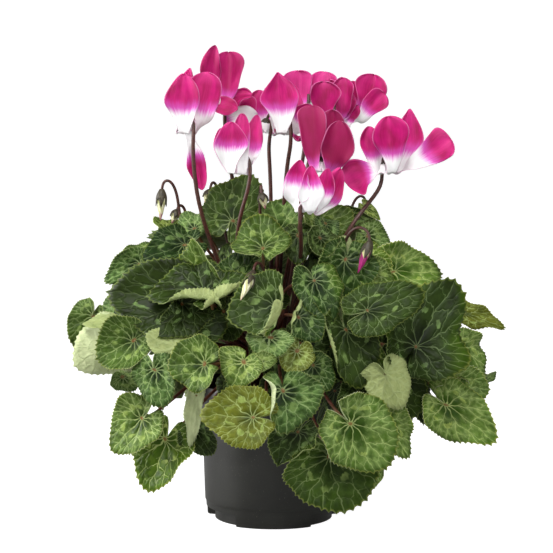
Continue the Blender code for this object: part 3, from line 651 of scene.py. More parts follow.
def leaf_face():
    """The upper side of a cyclamen leaf: waxy skin over a net of pale veins.

    Main veins fan from the junction, fork half way out and join into loops towards the margin. Between
    them the green is silvered beside the outer veins, with a pale round blotch in each bay, and painted
    shade darkens it near the junction. It gives the eye a light network, quilted cells and a soft broad
    sheen.
    """
    material, n = new_material("leaf_waxy_upper_side")
    leaf = leaf_map(n)
    rho, fresh, away = leaf.rho, leaf.fresh, leaf.away
    mottle = n("TexNoise", Vector=leaf.spot, Scale=4.0, Detail=3.0, Roughness=0.6)
    mottle = n("MapRange", mottle, 0.35, 0.65)

    # Large veins are about a millimetre wide at the junction and half that at the margin.
    width = n("MapRange", rho, 0.0, 1.0, 0.30, 0.08)
    lines = n("MapRange SMOOTHSTEP", n("Math SUBTRACT", leaf.big, width), 0.0, 0.28, 1.0, 0.0)
    lines = n("Math MULTIPLY", lines, n("MapRange", mottle, 0.0, 1.0, 0.35, 0.85))
    fine = n("MapRange SMOOTHSTEP", leaf.small, 0.05, 0.38, 1.0, 0.0)
    fine = n("Math MULTIPLY", fine, n("MapRange", mottle, 0.0, 1.0, 0.15, 0.6))
    lines = n("Math MAXIMUM", lines, fine)
    # They are plain to see on young and silvered leaves and faint on old dark ones.
    lit = n("MapRange", n("Math MAXIMUM", fresh, leaf.silver), 0.0, 0.8, 0.28, 0.95)
    lines = n("Math MULTIPLY", lines, lit)

    # Green between the veins.
    dark = n("MixRGB", mottle, "#0a1904", "#18300a")
    lively = n("MixRGB", mottle, "#2a4708", "#4a700e")
    green = n("MixRGB", fresh, dark, lively)
    ripe = n("MixRGB", mottle, "#54560f", "#75751f")
    green = n("MixRGB", n("Math MULTIPLY", leaf.warm, 0.75), green, ripe)
    # Silver frosts the skin beside the outer veins, in streaks, and leaves the middle green.
    star = n("MapRange SMOOTHSTEP", rho, 0.22, 0.5)
    star = n("Math MULTIPLY", star, n("MapRange", rho, 0.78, 0.95, 1.0, 0.45))
    streak = n("TexNoise", Vector=leaf.spot, Scale=11.0, Detail=2.0)
    beside = n("MapRange", away, 0.4, 3.0, 1.0, 0.4)
    band = n("Math MULTIPLY", n("Math MULTIPLY", star, beside), n("Math POWER", leaf.silver, 1.5))
    band = n("Math MULTIPLY", band, n("MapRange", streak, 0.38, 0.6, 0.4, 1.0))
    green = n("MixRGB", band, green, n("MixRGB", fresh, "#5a7a3e", "#8ca458"))
    # Painted shade: the green darkens towards the junction, where the middle of the plant lies in shade.
    painted_shade = n("MapRange SMOOTHSTEP", rho, 0.05, 0.50, 0.75, 0.0)
    green = n("MixRGB", painted_shade, green, n("MixRGB", fresh, "#0c1606", "#28400c"))
    # A pale blotch about 5 mm across in the bay between two main veins, weak in some bays.
    level = n("TexNoise", Vector=leaf.spot, Scale=2.6, Detail=0.0)
    centre = n("MapRange", level, 0.3, 0.7, 0.46, 0.64)
    out_by = n("Math MULTIPLY", n("Math SUBTRACT", rho, centre), leaf.length)
    side_by = n("Math MULTIPLY", n("Math SUBTRACT", MAIN_VEIN_STEP / 2, leaf.apart), leaf.reach_mm)
    round_by = n("VectorMath LENGTH", n("CombineXYZ", out_by, side_by, 0.0), out="Value")
    blotch = n("MapRange SMOOTHSTEP", round_by, 1.9, 3.2, 1.0, 0.0)
    chosen = n("TexNoise", out="Color", Vector=leaf.spot, Scale=3.4, Detail=0.0)
    chosen = n("MapRange", n("SeparateColor", chosen, out=1), 0.38, 0.50, 0.1, 1.0)
    blotch = n("Math MULTIPLY", blotch, n("MapRange", streak, 0.35, 0.6, 0.45, 0.85))
    blotch = n("Math MULTIPLY", blotch, chosen)
    green = n("MixRGB", blotch, green, n("MixRGB", fresh, "#6e8a4c", "#a8ba5c"))

    # Pale veins and rim, and a rusty heart where the petiole joins.
    green = n("MixRGB", lines, green, n("MixRGB", fresh, "#90a66e", "#bcc97c"))
    edge = n("MapRange", rho, 0.965, 0.99, 0.0, 0.6)
    green = n("MixRGB", edge, green, n("MixRGB", fresh, "#6f7f3c", "#a9ad50"))
    heart = n("MapRange SMOOTHSTEP", leaf.reach_mm, 0.7, 1.8, 0.8, 0.0)
    green = n("MixRGB", heart, green, "#743c1c")

    # The cells quilt up between sunken veins, and the skin has a fine grain.
    quilt = n("MapRange SMOOTHSTEP", away, 0.0, 2.2, 0.0, 1.0)
    grain = n("TexNoise", Vector=leaf.spot, Scale=60.0, Detail=2.0)
    relief = n("Math ADD", n("Math MULTIPLY", grain, 0.10), quilt)
    bump = n("Bump", Strength=0.7, Distance=0.0006, Height=relief)
    rough = n("MapRange", mottle, 0.0, 1.0, 0.38, 0.50)
    n("OutputMaterial", n("BsdfPrincipled", Base_Color=green, Roughness=rough, Specular_IOR_Level=0.14,
                          Normal=bump))
    return material


def leaf_back():
    """The underside of the leaf: matt, pale grey-green, with the veins standing out of it.

    It gives the eye a chalky light surface with soft ribs, where the upper side is dark and shiny.
    """
    material, n = new_material("leaf_matt_underside")
    leaf = leaf_map(n)
    ribs = n("MapRange SMOOTHSTEP", leaf.away, 0.2, 1.0, 1.0, 0.0)
    mottle = n("TexNoise", Vector=leaf.spot, Scale=6.0, Detail=3.0)
    green = n("MixRGB", leaf.fresh, "#4a5e22", "#b2be7a")
    frosted = n("MapRange", leaf.silver, 0.5, 1.0, 0.0, 0.8)
    green = n("MixRGB", frosted, green, n("MixRGB", leaf.fresh, "#788a58", "#d8e0b4"))
    green = n("MixRGB", n("Math MULTIPLY", leaf.warm, 0.5), green, "#8f9148")
    green = n("MixRGB", n("MapRange", mottle, 0.35, 0.7, 0.0, 0.4), green, "#5f7434")
    green = n("MixRGB", n("Math MULTIPLY", ribs, 0.3), green, "#b4c288")
    bump = n("Bump", Strength=0.5, Distance=0.0006, Height=ribs)
    n("OutputMaterial", n("BsdfPrincipled", Base_Color=green, Roughness=0.65, Normal=bump))
    return material


def petal_skin():
    """A cyclamen petal: magenta satin with a white base, feathered along its cells, and a pale edge."""
    material, n = new_material("petal_satin_magenta_and_white")
    chart = n("UVMap", uv_map="chart")
    looks = [n("Attribute", out="Fac", attribute_name=name) for name in ("seed", "white", "age")]
    seed, white, age = looks
    aside = n("SeparateXYZ", chart)
    along = aside.node.outputs["Y"]
    off = n("Math MULTIPLY", seed, 23.0)
    # Streaks run from base to tip, about a millimetre apart.
    strand = n("CombineXYZ", n("Math MULTIPLY", aside, 26.0), n("Math MULTIPLY", along, 2.2), off)
    streak = n("TexNoise", Vector=strand, Scale=1.0, Detail=3.0, Roughness=0.6)
    spot = n("VectorMath", chart, n("CombineXYZ", 0.0, 0.0, off))
    cloud = n("TexNoise", Vector=spot, Scale=3.0, Detail=2.0)
    feather = n("Math MULTIPLY", n("Math SUBTRACT", streak, 0.5), 0.18)
    # White reaches further up at the sides than in the middle.
    middle = n("Math ABSOLUTE", n("Math SUBTRACT", aside, 0.5))
    climb = n("Math MULTIPLY", n("Math POWER", middle, 2.0), 0.2)
    level = n("Math ADD", n("Math SUBTRACT", along, white), feather)
    level = n("Math SUBTRACT", level, climb)
    # The colour comes up from white through a lilac tint to the full magenta.
    tint = n("MapRange SMOOTHSTEP", level, -0.14, 0.03)
    full = n("MapRange SMOOTHSTEP", level, -0.06, 0.18)
    deep = n("MixRGB", n("MapRange", cloud, 0.35, 0.65), "#a20652", "#c60e74")
    deep = n("MixRGB", n("MapRange", streak, 0.45, 0.7, 0.0, 0.35), deep, "#dc2c82")
    deep = n("MixRGB", n("MapRange", along, 0.8, 1.0, 0.0, 0.45), deep, "#ec4a9c")
    deep = n("MixRGB", n("MapRange", age, 0.0, 1.0, 0.0, 0.8), deep, "#8a0e42")
    deep = n("MixRGB", n("MapRange", age, 0.0, -1.0, 0.0, 1.0), deep, "#f050a8")
    base = n("MixRGB", n("MapRange", streak, 0.45, 0.75, 0.0, 0.5), "#ffffff", "#f8ecf4")
    colour = n("MixRGB", full, n("MixRGB", tint, base, "#dc5cc4"), deep)
    colour = n("MixRGB", n("MapRange", middle, 0.47, 0.5, 0.0, 0.5), colour, "#e08cc0")
    bump = n("Bump", Strength=0.35, Distance=0.0003, Height=streak)
    n("OutputMaterial", n("BsdfPrincipled", Base_Color=colour, Roughness=0.6, Specular_IOR_Level=0.3,
                          Normal=bump))
    return material


def skin(name, dark, light, roughness, tip=None, grain=0.0012, depth=0.0002):
    """A plant skin, such as a stalk's or a corm's: two tones in a grain, and a tint at its end.

    The grain is the size in metres of the mottling, which gives the eye a living surface and not a dye.
    """
    material, n = new_material(name)
    place = n("TexCoord", out="Object")
    mottle = n("TexNoise", Vector=place, Scale=1.0 / grain, Detail=3.0, Roughness=0.6)
    colour = n("MixRGB", n("MapRange", mottle, 0.35, 0.65), dark, light)
    if tip:
        rho = n("Attribute", out="Fac", attribute_name="rho")
        colour = n("MixRGB", n("MapRange", rho, 0.75, 1.0), colour, tip)
    bump = n("Bump", Strength=0.4, Distance=depth, Height=mottle)
    n("OutputMaterial", n("BsdfPrincipled", Base_Color=colour, Roughness=roughness, Normal=bump))
    return material


def bud_petals():
    """Furled petals of a bud: cream, ribbed where they wind round each other, magenta from the tip up."""
    material, n = new_material("bud_furled_petals")
    chart = n("UVMap", uv_map="chart")
    blush = n("Attribute", out="Fac", attribute_name="blush")
    around = n("SeparateXYZ", chart)
    along = around.node.outputs["Y"]
    wind = n("Math ADD", n("Math MULTIPLY", around, 5.0), n("Math MULTIPLY", along, 3.0))
    ridge = n("Math SINE", n("Math MULTIPLY", wind, math.tau))
    cream = n("MixRGB", n("MapRange", ridge, -1.0, 1.0), "#cfcf8e", "#f2efcf")
    level = n("Math ADD", along, n("Math MULTIPLY", ridge, 0.12))
    level = n("Math SUBTRACT", level, n("Math SUBTRACT", 1.0, blush))
    colour = n("MixRGB", n("MapRange", level, -0.04, 0.06), cream, "#b02a78")
    bump = n("Bump", Strength=0.5, Distance=0.0004, Height=ridge)
    n("OutputMaterial", n("BsdfPrincipled", Base_Color=colour, Roughness=0.5, Normal=bump))
    return material


def pot_plastic():
    """Thin injection-moulded polypropylene, nearly black from recycled stock.

    It gives the eye a dull satin, faint flow marks and a few dusty specks.
    """
    material, n = new_material("pot_recycled_polypropylene")
    place = n("TexCoord", out="Object")
    flow = n("TexNoise", Vector=place, Scale=35.0, Detail=4.0)
    specks = n("TexNoise", Vector=place, Scale=900.0, Detail=1.0)
    colour = n("MixRGB", n("MapRange", flow, 0.35, 0.65), "#1c1c17", "#282823")
    colour = n("MixRGB", n("MapRange", specks, 0.72, 0.78, 0.0, 0.5), colour, "#6c6a60")
    rough = n("MapRange", flow, 0.3, 0.7, 0.32, 0.44)
    bump = n("Bump", Strength=0.25, Distance=0.0002, Height=specks)
    n("OutputMaterial", n("BsdfPrincipled", Base_Color=colour, Roughness=rough, Normal=bump))
    return material


def peat():
    """Damp peat: brown-black crumbs and fibres with a few pale bits of perlite."""
    material, n = new_material("peat_crumb")
    place = n("TexCoord", out="Object")
    crumbs = n("TexNoise", Vector=place, Scale=420.0, Detail=5.0, Roughness=0.7)
    bits = n("TexVoronoi", feature="F1", Vector=place, Scale=160.0)
    colour = n("MixRGB", n("MapRange", crumbs, 0.35, 0.65), "#1d140e", "#4a3524")
    colour = n("MixRGB", n("MapRange", bits, 0.10, 0.16, 0.6, 0.0), colour, "#a59a86")
    bump = n("Bump", Strength=1.0, Distance=0.0015, Height=crumbs)
    n("OutputMaterial", n("BsdfPrincipled", Base_Color=colour, Roughness=0.95, Normal=bump))
    return material


# ---------------------------------------------------------------- crown, leaves


def on_corm(spot):
    """Return a point of the corm's skin above a spot of its plan, and the way out of it there."""
    share = spot.length / CORM_RADIUS
    rise = CORM_HALF_HEIGHT * math.sqrt(max(1.0 - share * share, 0.0))
    normal = Vector((*(spot / CORM_RADIUS**2), rise / CORM_HALF_HEIGHT**2)).normalized()
    return np.array((spot.x, spot.y, CORM_CENTRE + rise)), np.array(normal)


def crown_starts(ends):
    """Return where each stalk leaves the crown and which way, towards its end and clear of the others."""
    leans = [(end - PLANT_CENTRE).angle(Vector((0, 0, 1))) for end in ends]
    order = sorted(range(len(ends)), key=lambda index: leans[index])
    spots = [None] * len(ends)
    for rank, index in enumerate(order):
        away = Vector((ends[index].x, ends[index].y)).normalized()
        spots[index] = away * CROWN_SPREAD * math.sqrt((rank + 0.5) / len(ends))
    for _ in range(CROWN_PASSES):
        for i, spot in enumerate(spots):
            for j in range(i):
                apart = spot - spots[j]
                short = STALK_SPACING - apart.length
                if short > 0:
                    push = apart.normalized() * short * 0.5 if apart.length > 0.001 else Vector((0.5, 0.1))
                    spot += push
                    spots[j] -= push
        for spot in spots:
            if spot.length > CROWN_LIMIT:
                spot *= CROWN_LIMIT / spot.length
    return [on_corm(spot) for spot in spots]


def leaf_start(leaf):
    """Return where the petiole of a leaf with no solid leaves the crown, on the leaf's own side."""
    junction = Vector(leaf.junction)
    lean = (junction - PLANT_CENTRE).angle(Vector((0, 0, 1)))
    spot = Vector((junction.x, junction.y)).normalized() * CROWN_SPREAD * min(lean / EDGE_LEAN, 1.0)
    return on_corm(spot)


def leaf_axes(leaf):
    """Return the leaf's junction, its length and the ways along it, across it and out of its face."""
    junction = np.array(leaf.junction, float)
    along = np.array(leaf.tip, float) - junction
    length = np.linalg.norm(along)
    along /= length
    outward = unit(junction - FACING_CENTRE)
    face = unit(outward - along * (outward @ along))
    roll = math.radians(leaf.roll)
    face = face * math.cos(roll) + np.cross(along, face) * math.sin(roll)
    return junction, length, along, np.cross(face, along), face


def outline(angle, notch, seed):
    """The heart outline's radius as a share of the length, at an angle from the tip.

    It is 0.54 + 0.10 cos + 0.06 sin² of the angle, plus a bell of 0.36 at the tip, less a bell of 0.40 at
    the notch, with a little seeded unevenness.
    """
    tip = 0.36 * np.exp(-((np.abs(angle) / math.radians(32.0)) ** 1.5))
    gap = 0.40 * np.exp(-(((math.pi - np.abs(angle)) / math.radians(notch)) ** 2))
    uneven = 0.025 * np.sin(3.0 * angle + seed * 40.0) + 0.02 * np.sin(7.0 * angle + seed * 90.0)
    return 0.54 + 0.10 * np.cos(angle) + 0.06 * np.sin(angle) ** 2 + tip - gap + uneven


def bend(forward, aside, rise, curl, length):
    """Bend the part of a blade that lies beyond a line about a cylinder, and lay the rest on straight.

    Returns the three coordinates and how much of the bend each point has been through.
    """
    toward, start, most, radius = curl
    toward = math.radians(toward)
    most = math.radians(most)
    radius = radius * length
    sign = math.copysign(1.0, most)
    most = abs(most)
    ahead = forward * math.cos(toward) + aside * math.sin(toward)
    beside = aside * math.cos(toward) - forward * math.sin(toward)
    beyond = np.maximum(ahead - start * length, 0.0)
    angle = np.minimum(beyond / radius, most)
    left = np.maximum(beyond - radius * most, 0.0)
    kept = np.minimum(ahead, start * length)
    moved = kept + radius * np.sin(angle) + left * np.cos(most) - rise * np.sin(angle) * sign
    lifted = sign * (radius * (1.0 - np.cos(angle)) + left * math.sin(most)) + rise * np.cos(angle)
    return (
        moved * math.cos(toward) - beside * math.sin(toward),
        moved * math.sin(toward) + beside * math.cos(toward),
        lifted,
        angle / most,
    )


def blade(leaf, axes, detail, seed):
    """The blade: a polar grid about the junction, its rim the heart outline, bent out of its plane.

    The rise is the fold times the distance from the midrib, plus the cup times the distance from the
    junction squared, less the droop of the tip, plus waves that grow with the cube of the way out.
    """
    junction, length, along, across, face = axes
    spokes, rings = detail
    rng = draws(seed)
    angle = np.linspace(-math.pi, math.pi, spokes, endpoint=False)
    share = np.arange(1, rings + 1) / rings
    teeth = 1.0 + 0.045 * (np.arange(spokes) % 3 == 0) * rng.uniform(0.5, 1.2, spokes)
    rim = length * outline(angle, leaf.notch, seed) * teeth
    radius = np.concatenate([[0.0], (share[:, None] * rim[None, :]).ravel()])
    rho = np.concatenate([[0.0], np.repeat(share, spokes)])
    turn = np.concatenate([[0.0], np.tile(angle, rings)])
    forward = radius * np.cos(turn)
    aside = radius * np.sin(turn)
    chart = np.stack([forward, aside], 1) / length
    aside = aside * leaf.width
    rise = (leaf.fold + rng.uniform(0.0, 0.22)) * (np.hypot(aside, 4.0) - 4.0)
    rise += (leaf.cup + rng.uniform(-0.05, 0.22)) * (forward**2 + aside**2) / length
    rise -= TIP_DROOP * np.maximum(forward, 0.0) ** 2 / length
    for count in (2, 3, 5, 8):
        wave = leaf.wave * 2.4 / count * rng.uniform(0.6, 1.3)
        rise += wave * length * rho**3 * np.sin(count * turn + rng.uniform(0.0, math.tau))
    # Cells quilt up between the main veins.
    rise += 0.012 * length * rho * (1.0 - np.abs(np.cos(turn * math.pi / MAIN_VEIN_STEP)) ** 0.5)
    curled = np.zeros_like(rise)
    for curl in leaf.curls:
        forward, aside, rise, bent = bend(forward, aside, rise, curl, length)
        curled = np.maximum(curled, bent)
    points = junction + forward[:, None] * along + aside[:, None] * across + rise[:, None] * face
    ring_at = np.arange(1, spokes + 1)
    faces = np.concatenate([fan_faces(0, ring_at), grid_faces(rings, spokes, closed=True)[:, ::-1] + 1])
    return points, faces, chart, rho, curled


def petiole_path(leaf, axes, start, t):
    """The petiole: a Bezier curve that leaves the corm square to it and meets the blade from behind."""
    junction, _, along, _, face = axes
    place, normal = start
    reach = np.linalg.norm(junction - place)
    arrive = unit(face * (1.0 if abs(leaf.roll) < 90 else -1.0) + along * 0.35)
    rise = place + (normal + np.array((0.0, 0.0, 0.6))) * reach * 0.28
    side = unit(np.cross((0.0, 0.0, 1.0), junction - place)) * leaf.sway
    return bezier((place, rise + side * 0.3, junction - arrive * reach * 0.3 + side, junction), t)


def leaf_shapes(leaf, start, detail, seed):
    """A leaf's shapes: the blade's face, its back and rim, and the petiole."""
    axes = leaf_axes(leaf)
    points, faces, chart, rho, curled = blade(leaf, axes, detail, seed)
    border = np.arange(len(points) - detail[0], len(points))
    points, face, back = shell(points, faces, border, BLADE_THICKNESS)
    fresh, silver, warm = TONES[leaf.tone]
    rng = draws(seed, 1)
    fresh = np.clip(fresh + rng.uniform(-0.12, 0.12), 0.0, 1.0)
    silver = np.clip(silver + rng.uniform(-0.15, 0.15), 0.0, 1.0)
    slots = np.repeat([0, 1], [len(face), len(back)])
    path = petiole_path(leaf, axes, start, np.linspace(0.0, 1.0, PETIOLE_STEPS))
    rod, rod_faces, way = tube(path, PETIOLE_RADIUS * np.linspace(1.15, 0.9, PETIOLE_STEPS), sides=8)
    # The curled parts of the blade are painted lighter and yellower by their bend. This is painted light,
    # as if light shone through them.
    return [
        shape_of(points, np.concatenate([face, back]), slots, np.tile(chart, (2, 1)),
                 rho=np.tile(rho, 2), seed=seed, fresh=np.clip(fresh + 0.7 * np.tile(curled, 2), 0.0, 1.0),
                 silver=silver, warm=warm, length=axes[1]),
        shape_of(rod, rod_faces, 2, rho=way),
    ]


# ---------------------------------------------------------------- flowers and buds


def flower_axes(flower):
    """Return the way up through the flower, towards its stalk, and across both."""
    up = unit(np.array(flower.up, float))
    side = np.array((math.cos(math.radians(flower.side)), math.sin(math.radians(flower.side)), 0.0))
    side = unit(side - up * (side @ up))
    return up, side, np.cross(up, side)


def petals_round(flower, axes):
    """Return the petals in order round the flower from its stalk, each with its claw's three angles."""
    _, side, across = axes
    # Each petal's share of the tube lies between two edges, in degrees from the stalk, and its claw
    # stands at a middle. The claws leave room for the stalk.
    edges = [0.0, 79.5, 146.5, 213.5, 280.5, 360.0]
    middles = [46.0, 113.0, 180.0, 247.0, 314.0]
    ordered = sorted(
        flower.petals, key=lambda petal: math.atan2(petal.tip @ across, petal.tip @ side) % math.tau
    )
    angles = zip(edges, middles, edges[1:])
    return [(petal, tuple(map(math.radians, three))) for petal, three in zip(ordered, angles)]


def petal_sheet(flower, axes, angles, petal, seed):
    """A petal: its share of the tube, then a strip along a Bezier curve from the claw to the tip.

    The half width widens nearly evenly from the claw's to the widest place, and closes to the tip along an
    ellipse or, by the petal's point, along a straight taper. The strip turns from the way the claw
    stands to the way that the petal faces, and its edges bend forward or back by the hollow.
    """
    up, side, across = axes
    mouth = np.array(flower.mouth, float)
    before, middle, after = angles
    rows, columns = PETAL_ROWS, PETAL_COLUMNS
    rng = draws(seed)
    aside = np.linspace(-1.0, 1.0, columns)[None, :]
    down = np.linspace(0.0, 1.0, TUBE_ROWS, endpoint=False)[:, None]
    out = circles(side, across, before + (after - before) * (aside + 1.0) / 2.0)
    tube_radius = TUBE_TOP_RADIUS + (MOUTH_RADIUS - TUBE_TOP_RADIUS) * down
    neck = mouth + out * tube_radius[..., None] + up * (TUBE_LENGTH * (1.0 - down))[..., None]

    share = np.sin(np.linspace(0.0, 1.0, rows) * math.pi / 2.0)
    out = side * math.cos(middle) + across * math.sin(middle)
    tip = np.array(petal.tip, float)
    claw = mouth + out * MOUTH_RADIUS
    turning = mouth + out * 7.0 + tip * 0.3 + np.array(petal.bow, float) * 2.0
    # Out and down from the claw, round the turn and up to the tip.
    route = (claw, claw + out * 2.0 - up * 6.0, turning, mouth + tip)
    centre = bezier(route, share)
    steps = np.linalg.norm(np.diff(centre, axis=0), axis=1)
    run = np.concatenate([[0.0], np.cumsum(steps)]) / steps.sum()
    forward = unit(bezier(route, np.minimum(share + 0.02, 1.0)) - bezier(route, share - 0.02))
    level = np.cross(up, out)
    level = unit(level - forward * (forward @ level)[:, None])
    hollow = petal.hollow
    if petal.face:
        face = np.array(petal.face, float)
        facing = unit(np.cross(face, forward))
        if facing[-1] @ level[-1] < 0.0:
            facing = -facing
            hollow = -hollow
        turned_by = smooth_step(0.05, 0.45, run)[:, None]
        level = unit(level * (1.0 - turned_by) + facing * turned_by)
    normal = np.cross(forward, level)
    swell = (run / petal.widest) ** 1.25
    swell = np.maximum(swell + 1.0 - np.sqrt((swell - 1.0) ** 2 + 0.03), 0.0) / 2.0
    half = CLAW_HALF_WIDTH + (petal.width / 2 - CLAW_HALF_WIDTH) * swell
    past = np.clip((run - petal.widest) / (1.0 - petal.widest), 0.0, 1.0)
    round_end = np.sqrt(1.0 - past**2.4 * 0.995)
    sharp_end = 1.0 - past**1.4 * 0.97
    half = half * (round_end * (1.0 - petal.point) + sharp_end * petal.point)
    depth = hollow * half[:, None] * aside**2 * np.sqrt(swell)[:, None]
    ripple = np.sin(run[:, None] * rng.uniform(9.0, 13.0) + aside * 2.0 + rng.uniform(0.0, 6.0))
    depth = depth + 1.6 * np.abs(aside) ** 3 * ripple * swell[:, None]
    depth = depth + 0.6 * np.sin(aside * 5.0 + rng.uniform(0.0, 6.0)) * swell[:, None]
    # A soft fold runs up the petal a little off its middle.
    fold_at = rng.uniform(-0.25, 0.25)
    folded = np.hypot(aside - fold_at, 0.12) * half[:, None] * rng.uniform(0.12, 0.38)
    depth = depth + folded * swell[:, None] * math.copysign(1.0, hollow)
    sway = np.sin(run[:, None] * rng.uniform(7.0, 11.0) + 2.2 * np.sign(aside) + rng.uniform(0.0, 6.0))
    sideways = half[:, None] * aside * (1.0 + 0.09 * sway)
    limb = centre[:, None] + level[:, None] * sideways[..., None] + normal[:, None] * depth[..., None]
    points = np.concatenate([neck, limb]).reshape(-1, 3)
    total = TUBE_ROWS + rows
    along = np.concatenate([np.full(TUBE_ROWS, -0.01), run])
    chart = np.stack([
        np.broadcast_to((aside + 1.0) / 2.0, (total, columns)),
        np.broadcast_to(along[:, None], (total, columns)),
    ], -1).reshape(-1, 2)
    grid = np.arange(total * columns).reshape(total, columns)
    border = np.concatenate([grid[0], grid[1:, -1], grid[-1, -2::-1], grid[-2:0:-1, 0]])
    return points, grid_faces(total, columns), border, chart


def corolla_shapes(flower, number):
    """The five petals of a flower, each a closed sheet."""
    axes = flower_axes(flower)
    shapes = []
    first = number * len(flower.petals) - 4
    for index, (petal, angles) in enumerate(petals_round(flower, axes), first):
        seed = index * PETAL_SEED_STEP
        points, faces, border, chart = petal_sheet(flower, axes, angles, petal, seed)
        points, face, back = shell(points, faces, border, PETAL_THICKNESS)
        shapes.append(shape_of(points, np.concatenate([face, back]), 0, np.tile(chart, (2, 1)),
                               seed=seed, white=petal.white, age=flower.age))
    return shapes


def egg(top, tip, radii, sides, swirl=0.0, lobes=0.0):
    """A turned form from top to tip: rings of the given radii, with five ridges that wind round it."""
    rows = len(radii)
    axis = unit(tip - top)
    turn = full_turn(sides)[None, :]
    down = np.linspace(0.0, 1.0, rows)[:, None]
    radius = np.asarray(radii)[:, None] * (1.0 + lobes * np.cos(5.0 * turn + swirl * down * math.tau))
    ring = circles(*ways_about(axis), turn) * radius[..., None]
    points = (top + axis * np.linalg.norm(tip - top) * down[..., None] + ring).reshape(-1, 3)
    chart = np.stack(np.broadcast_arrays(turn / math.tau, down), -1).reshape(-1, 2)
    chart = np.concatenate([chart, [[0.5, 0.0], [0.5, 1.0]]])
    return np.concatenate([points, [top, tip]]), capped_faces(rows, sides), chart


def sepals(top, tip, radius, reach):
    """A calyx: a cup round the bud with five pointed lobes, as a closed sheet."""
    sides, rows = 50, 6
    axis = unit(tip - top)
    turn = full_turn(sides)[None, :]
    down = np.linspace(0.0, 1.0, rows)[:, None]
    lobe = 0.45 + 0.55 * np.abs(np.cos(2.5 * turn)) ** 1.5
    drop = reach * down * lobe
    width = radius * np.sin(math.pi / 2 * np.minimum(0.25 + drop / reach * 1.3, 1.0))
    ring = circles(*ways_about(axis), turn) * width[..., None]
    points = (top + axis * drop[..., None] + ring).reshape(-1, 3)
    at = np.arange(sides)
    points = np.concatenate([points, [top - axis * 0.2]])
    faces = np.concatenate([grid_faces(rows, sides, closed=True), fan_faces(rows * sides, at, flip=True)])
    border = at + (rows - 1) * sides
    points, face, back = shell(points, faces[:, ::-1], border, 0.35)
    return points, np.concatenate([face, back])[:, ::-1]


def flower_stalk_shapes(flower, start):
    """A flower stalk: it rises from the crown, hooks over at its top and ends in the calyx."""
    up, side, _ = flower_axes(flower)
    mouth = np.array(flower.mouth, float)
    place, normal = start
    via = np.array(flower.via, float)
    # The hook, by how far it is out to the side of the mouth and up from it.
    hook = [mouth + side * out + up * rise for out, rise in
            ((9.9, -10.0), (9.7, 4.0), (7.4, 10.5), (3.6, 13.5), (0.6, 11.0), (0.0, 6.0))]
    lower = [place, place + (via - place) * 0.35 + normal * 8.0, via, hook[0]]
    lower = through(lower, np.linspace(0.0, 1.0, 22))[:-1]
    upper = through(hook, np.linspace(0.0, 1.0, 18))
    path = eased(np.concatenate([lower, upper]), 6)
    last = len(path) - 1
    radii = np.interp(np.arange(last + 1), [0, 20, last], [STALK_RADIUS * 1.1, STALK_RADIUS, HOOK_RADIUS])
    rod, faces, way = tube(path, radii, sides=12)
    top, tip = mouth + up * 9.5, mouth + up * 1.5
    cup, cup_faces = sepals(top, tip, radius=TUBE_TOP_RADIUS + 0.5, reach=7.0)
    ball, ball_faces, _ = egg(top, tip, 2.6 * np.sqrt(np.sin(np.linspace(0.15, 3.0, 9))), sides=16)
    return [
        shape_of(rod, faces, 0, rho=way * 0.7),
        shape_of(cup, cup_faces, 1),
        shape_of(ball, ball_faces, 1),
    ]


def bud_shapes(bud, start):
    """A bud: its hooked stalk, the dark calyx and the furled petals."""
    bend_at, calyx, tip, via = (np.array(point, float) for point in bud[:4])
    axis = unit(calyx - tip)
    length = np.linalg.norm(calyx - tip) + 6.0
    top = calyx + axis * 3.0
    place, normal = start
    rise = place + (via - place) * 0.4 + normal * 8.0
    # The hook is a Bezier arch whose middle is the bend.
    crest = (bend_at[2] - (via[2] + top[2]) / 8.0) / 0.75
    arch = bezier((via, (*via[:2], crest), (*top[:2], crest), top), np.linspace(0.0, 1.0, 30))
    stem = through([place, rise, via], np.linspace(0.0, 1.0, 30))[:-1]
    path = eased(np.concatenate([stem, arch, [calyx]]), 8)
    rod, faces, way = tube(path, np.linspace(BUD_STALK_RADIUS, HOOK_RADIUS, len(path)), sides=10)
    fat = min(3.6, length * 0.24)
    down = np.linspace(0.0, 1.0, 18)
    full = np.sin(math.pi * np.clip(down * 0.93 + 0.04, 0.0, 1.0) ** 0.72) ** 0.9
    radii = fat * (full * (1.0 - 0.35 * down) + 0.03)
    body, body_faces, chart = egg(top, tip, radii, sides=30, swirl=3.0, lobes=0.07)
    cup, cup_faces = sepals(top + axis * 0.4, tip, radius=fat + 0.5, reach=length * 0.5)
    return [
        shape_of(rod, faces, 0, rho=way * 0.7),
        shape_of(cup, cup_faces, 1),
        shape_of(body, body_faces, 2, chart, blush=bud.blush),
    ]


# ---------------------------------------------------------------- pot, peat and corm


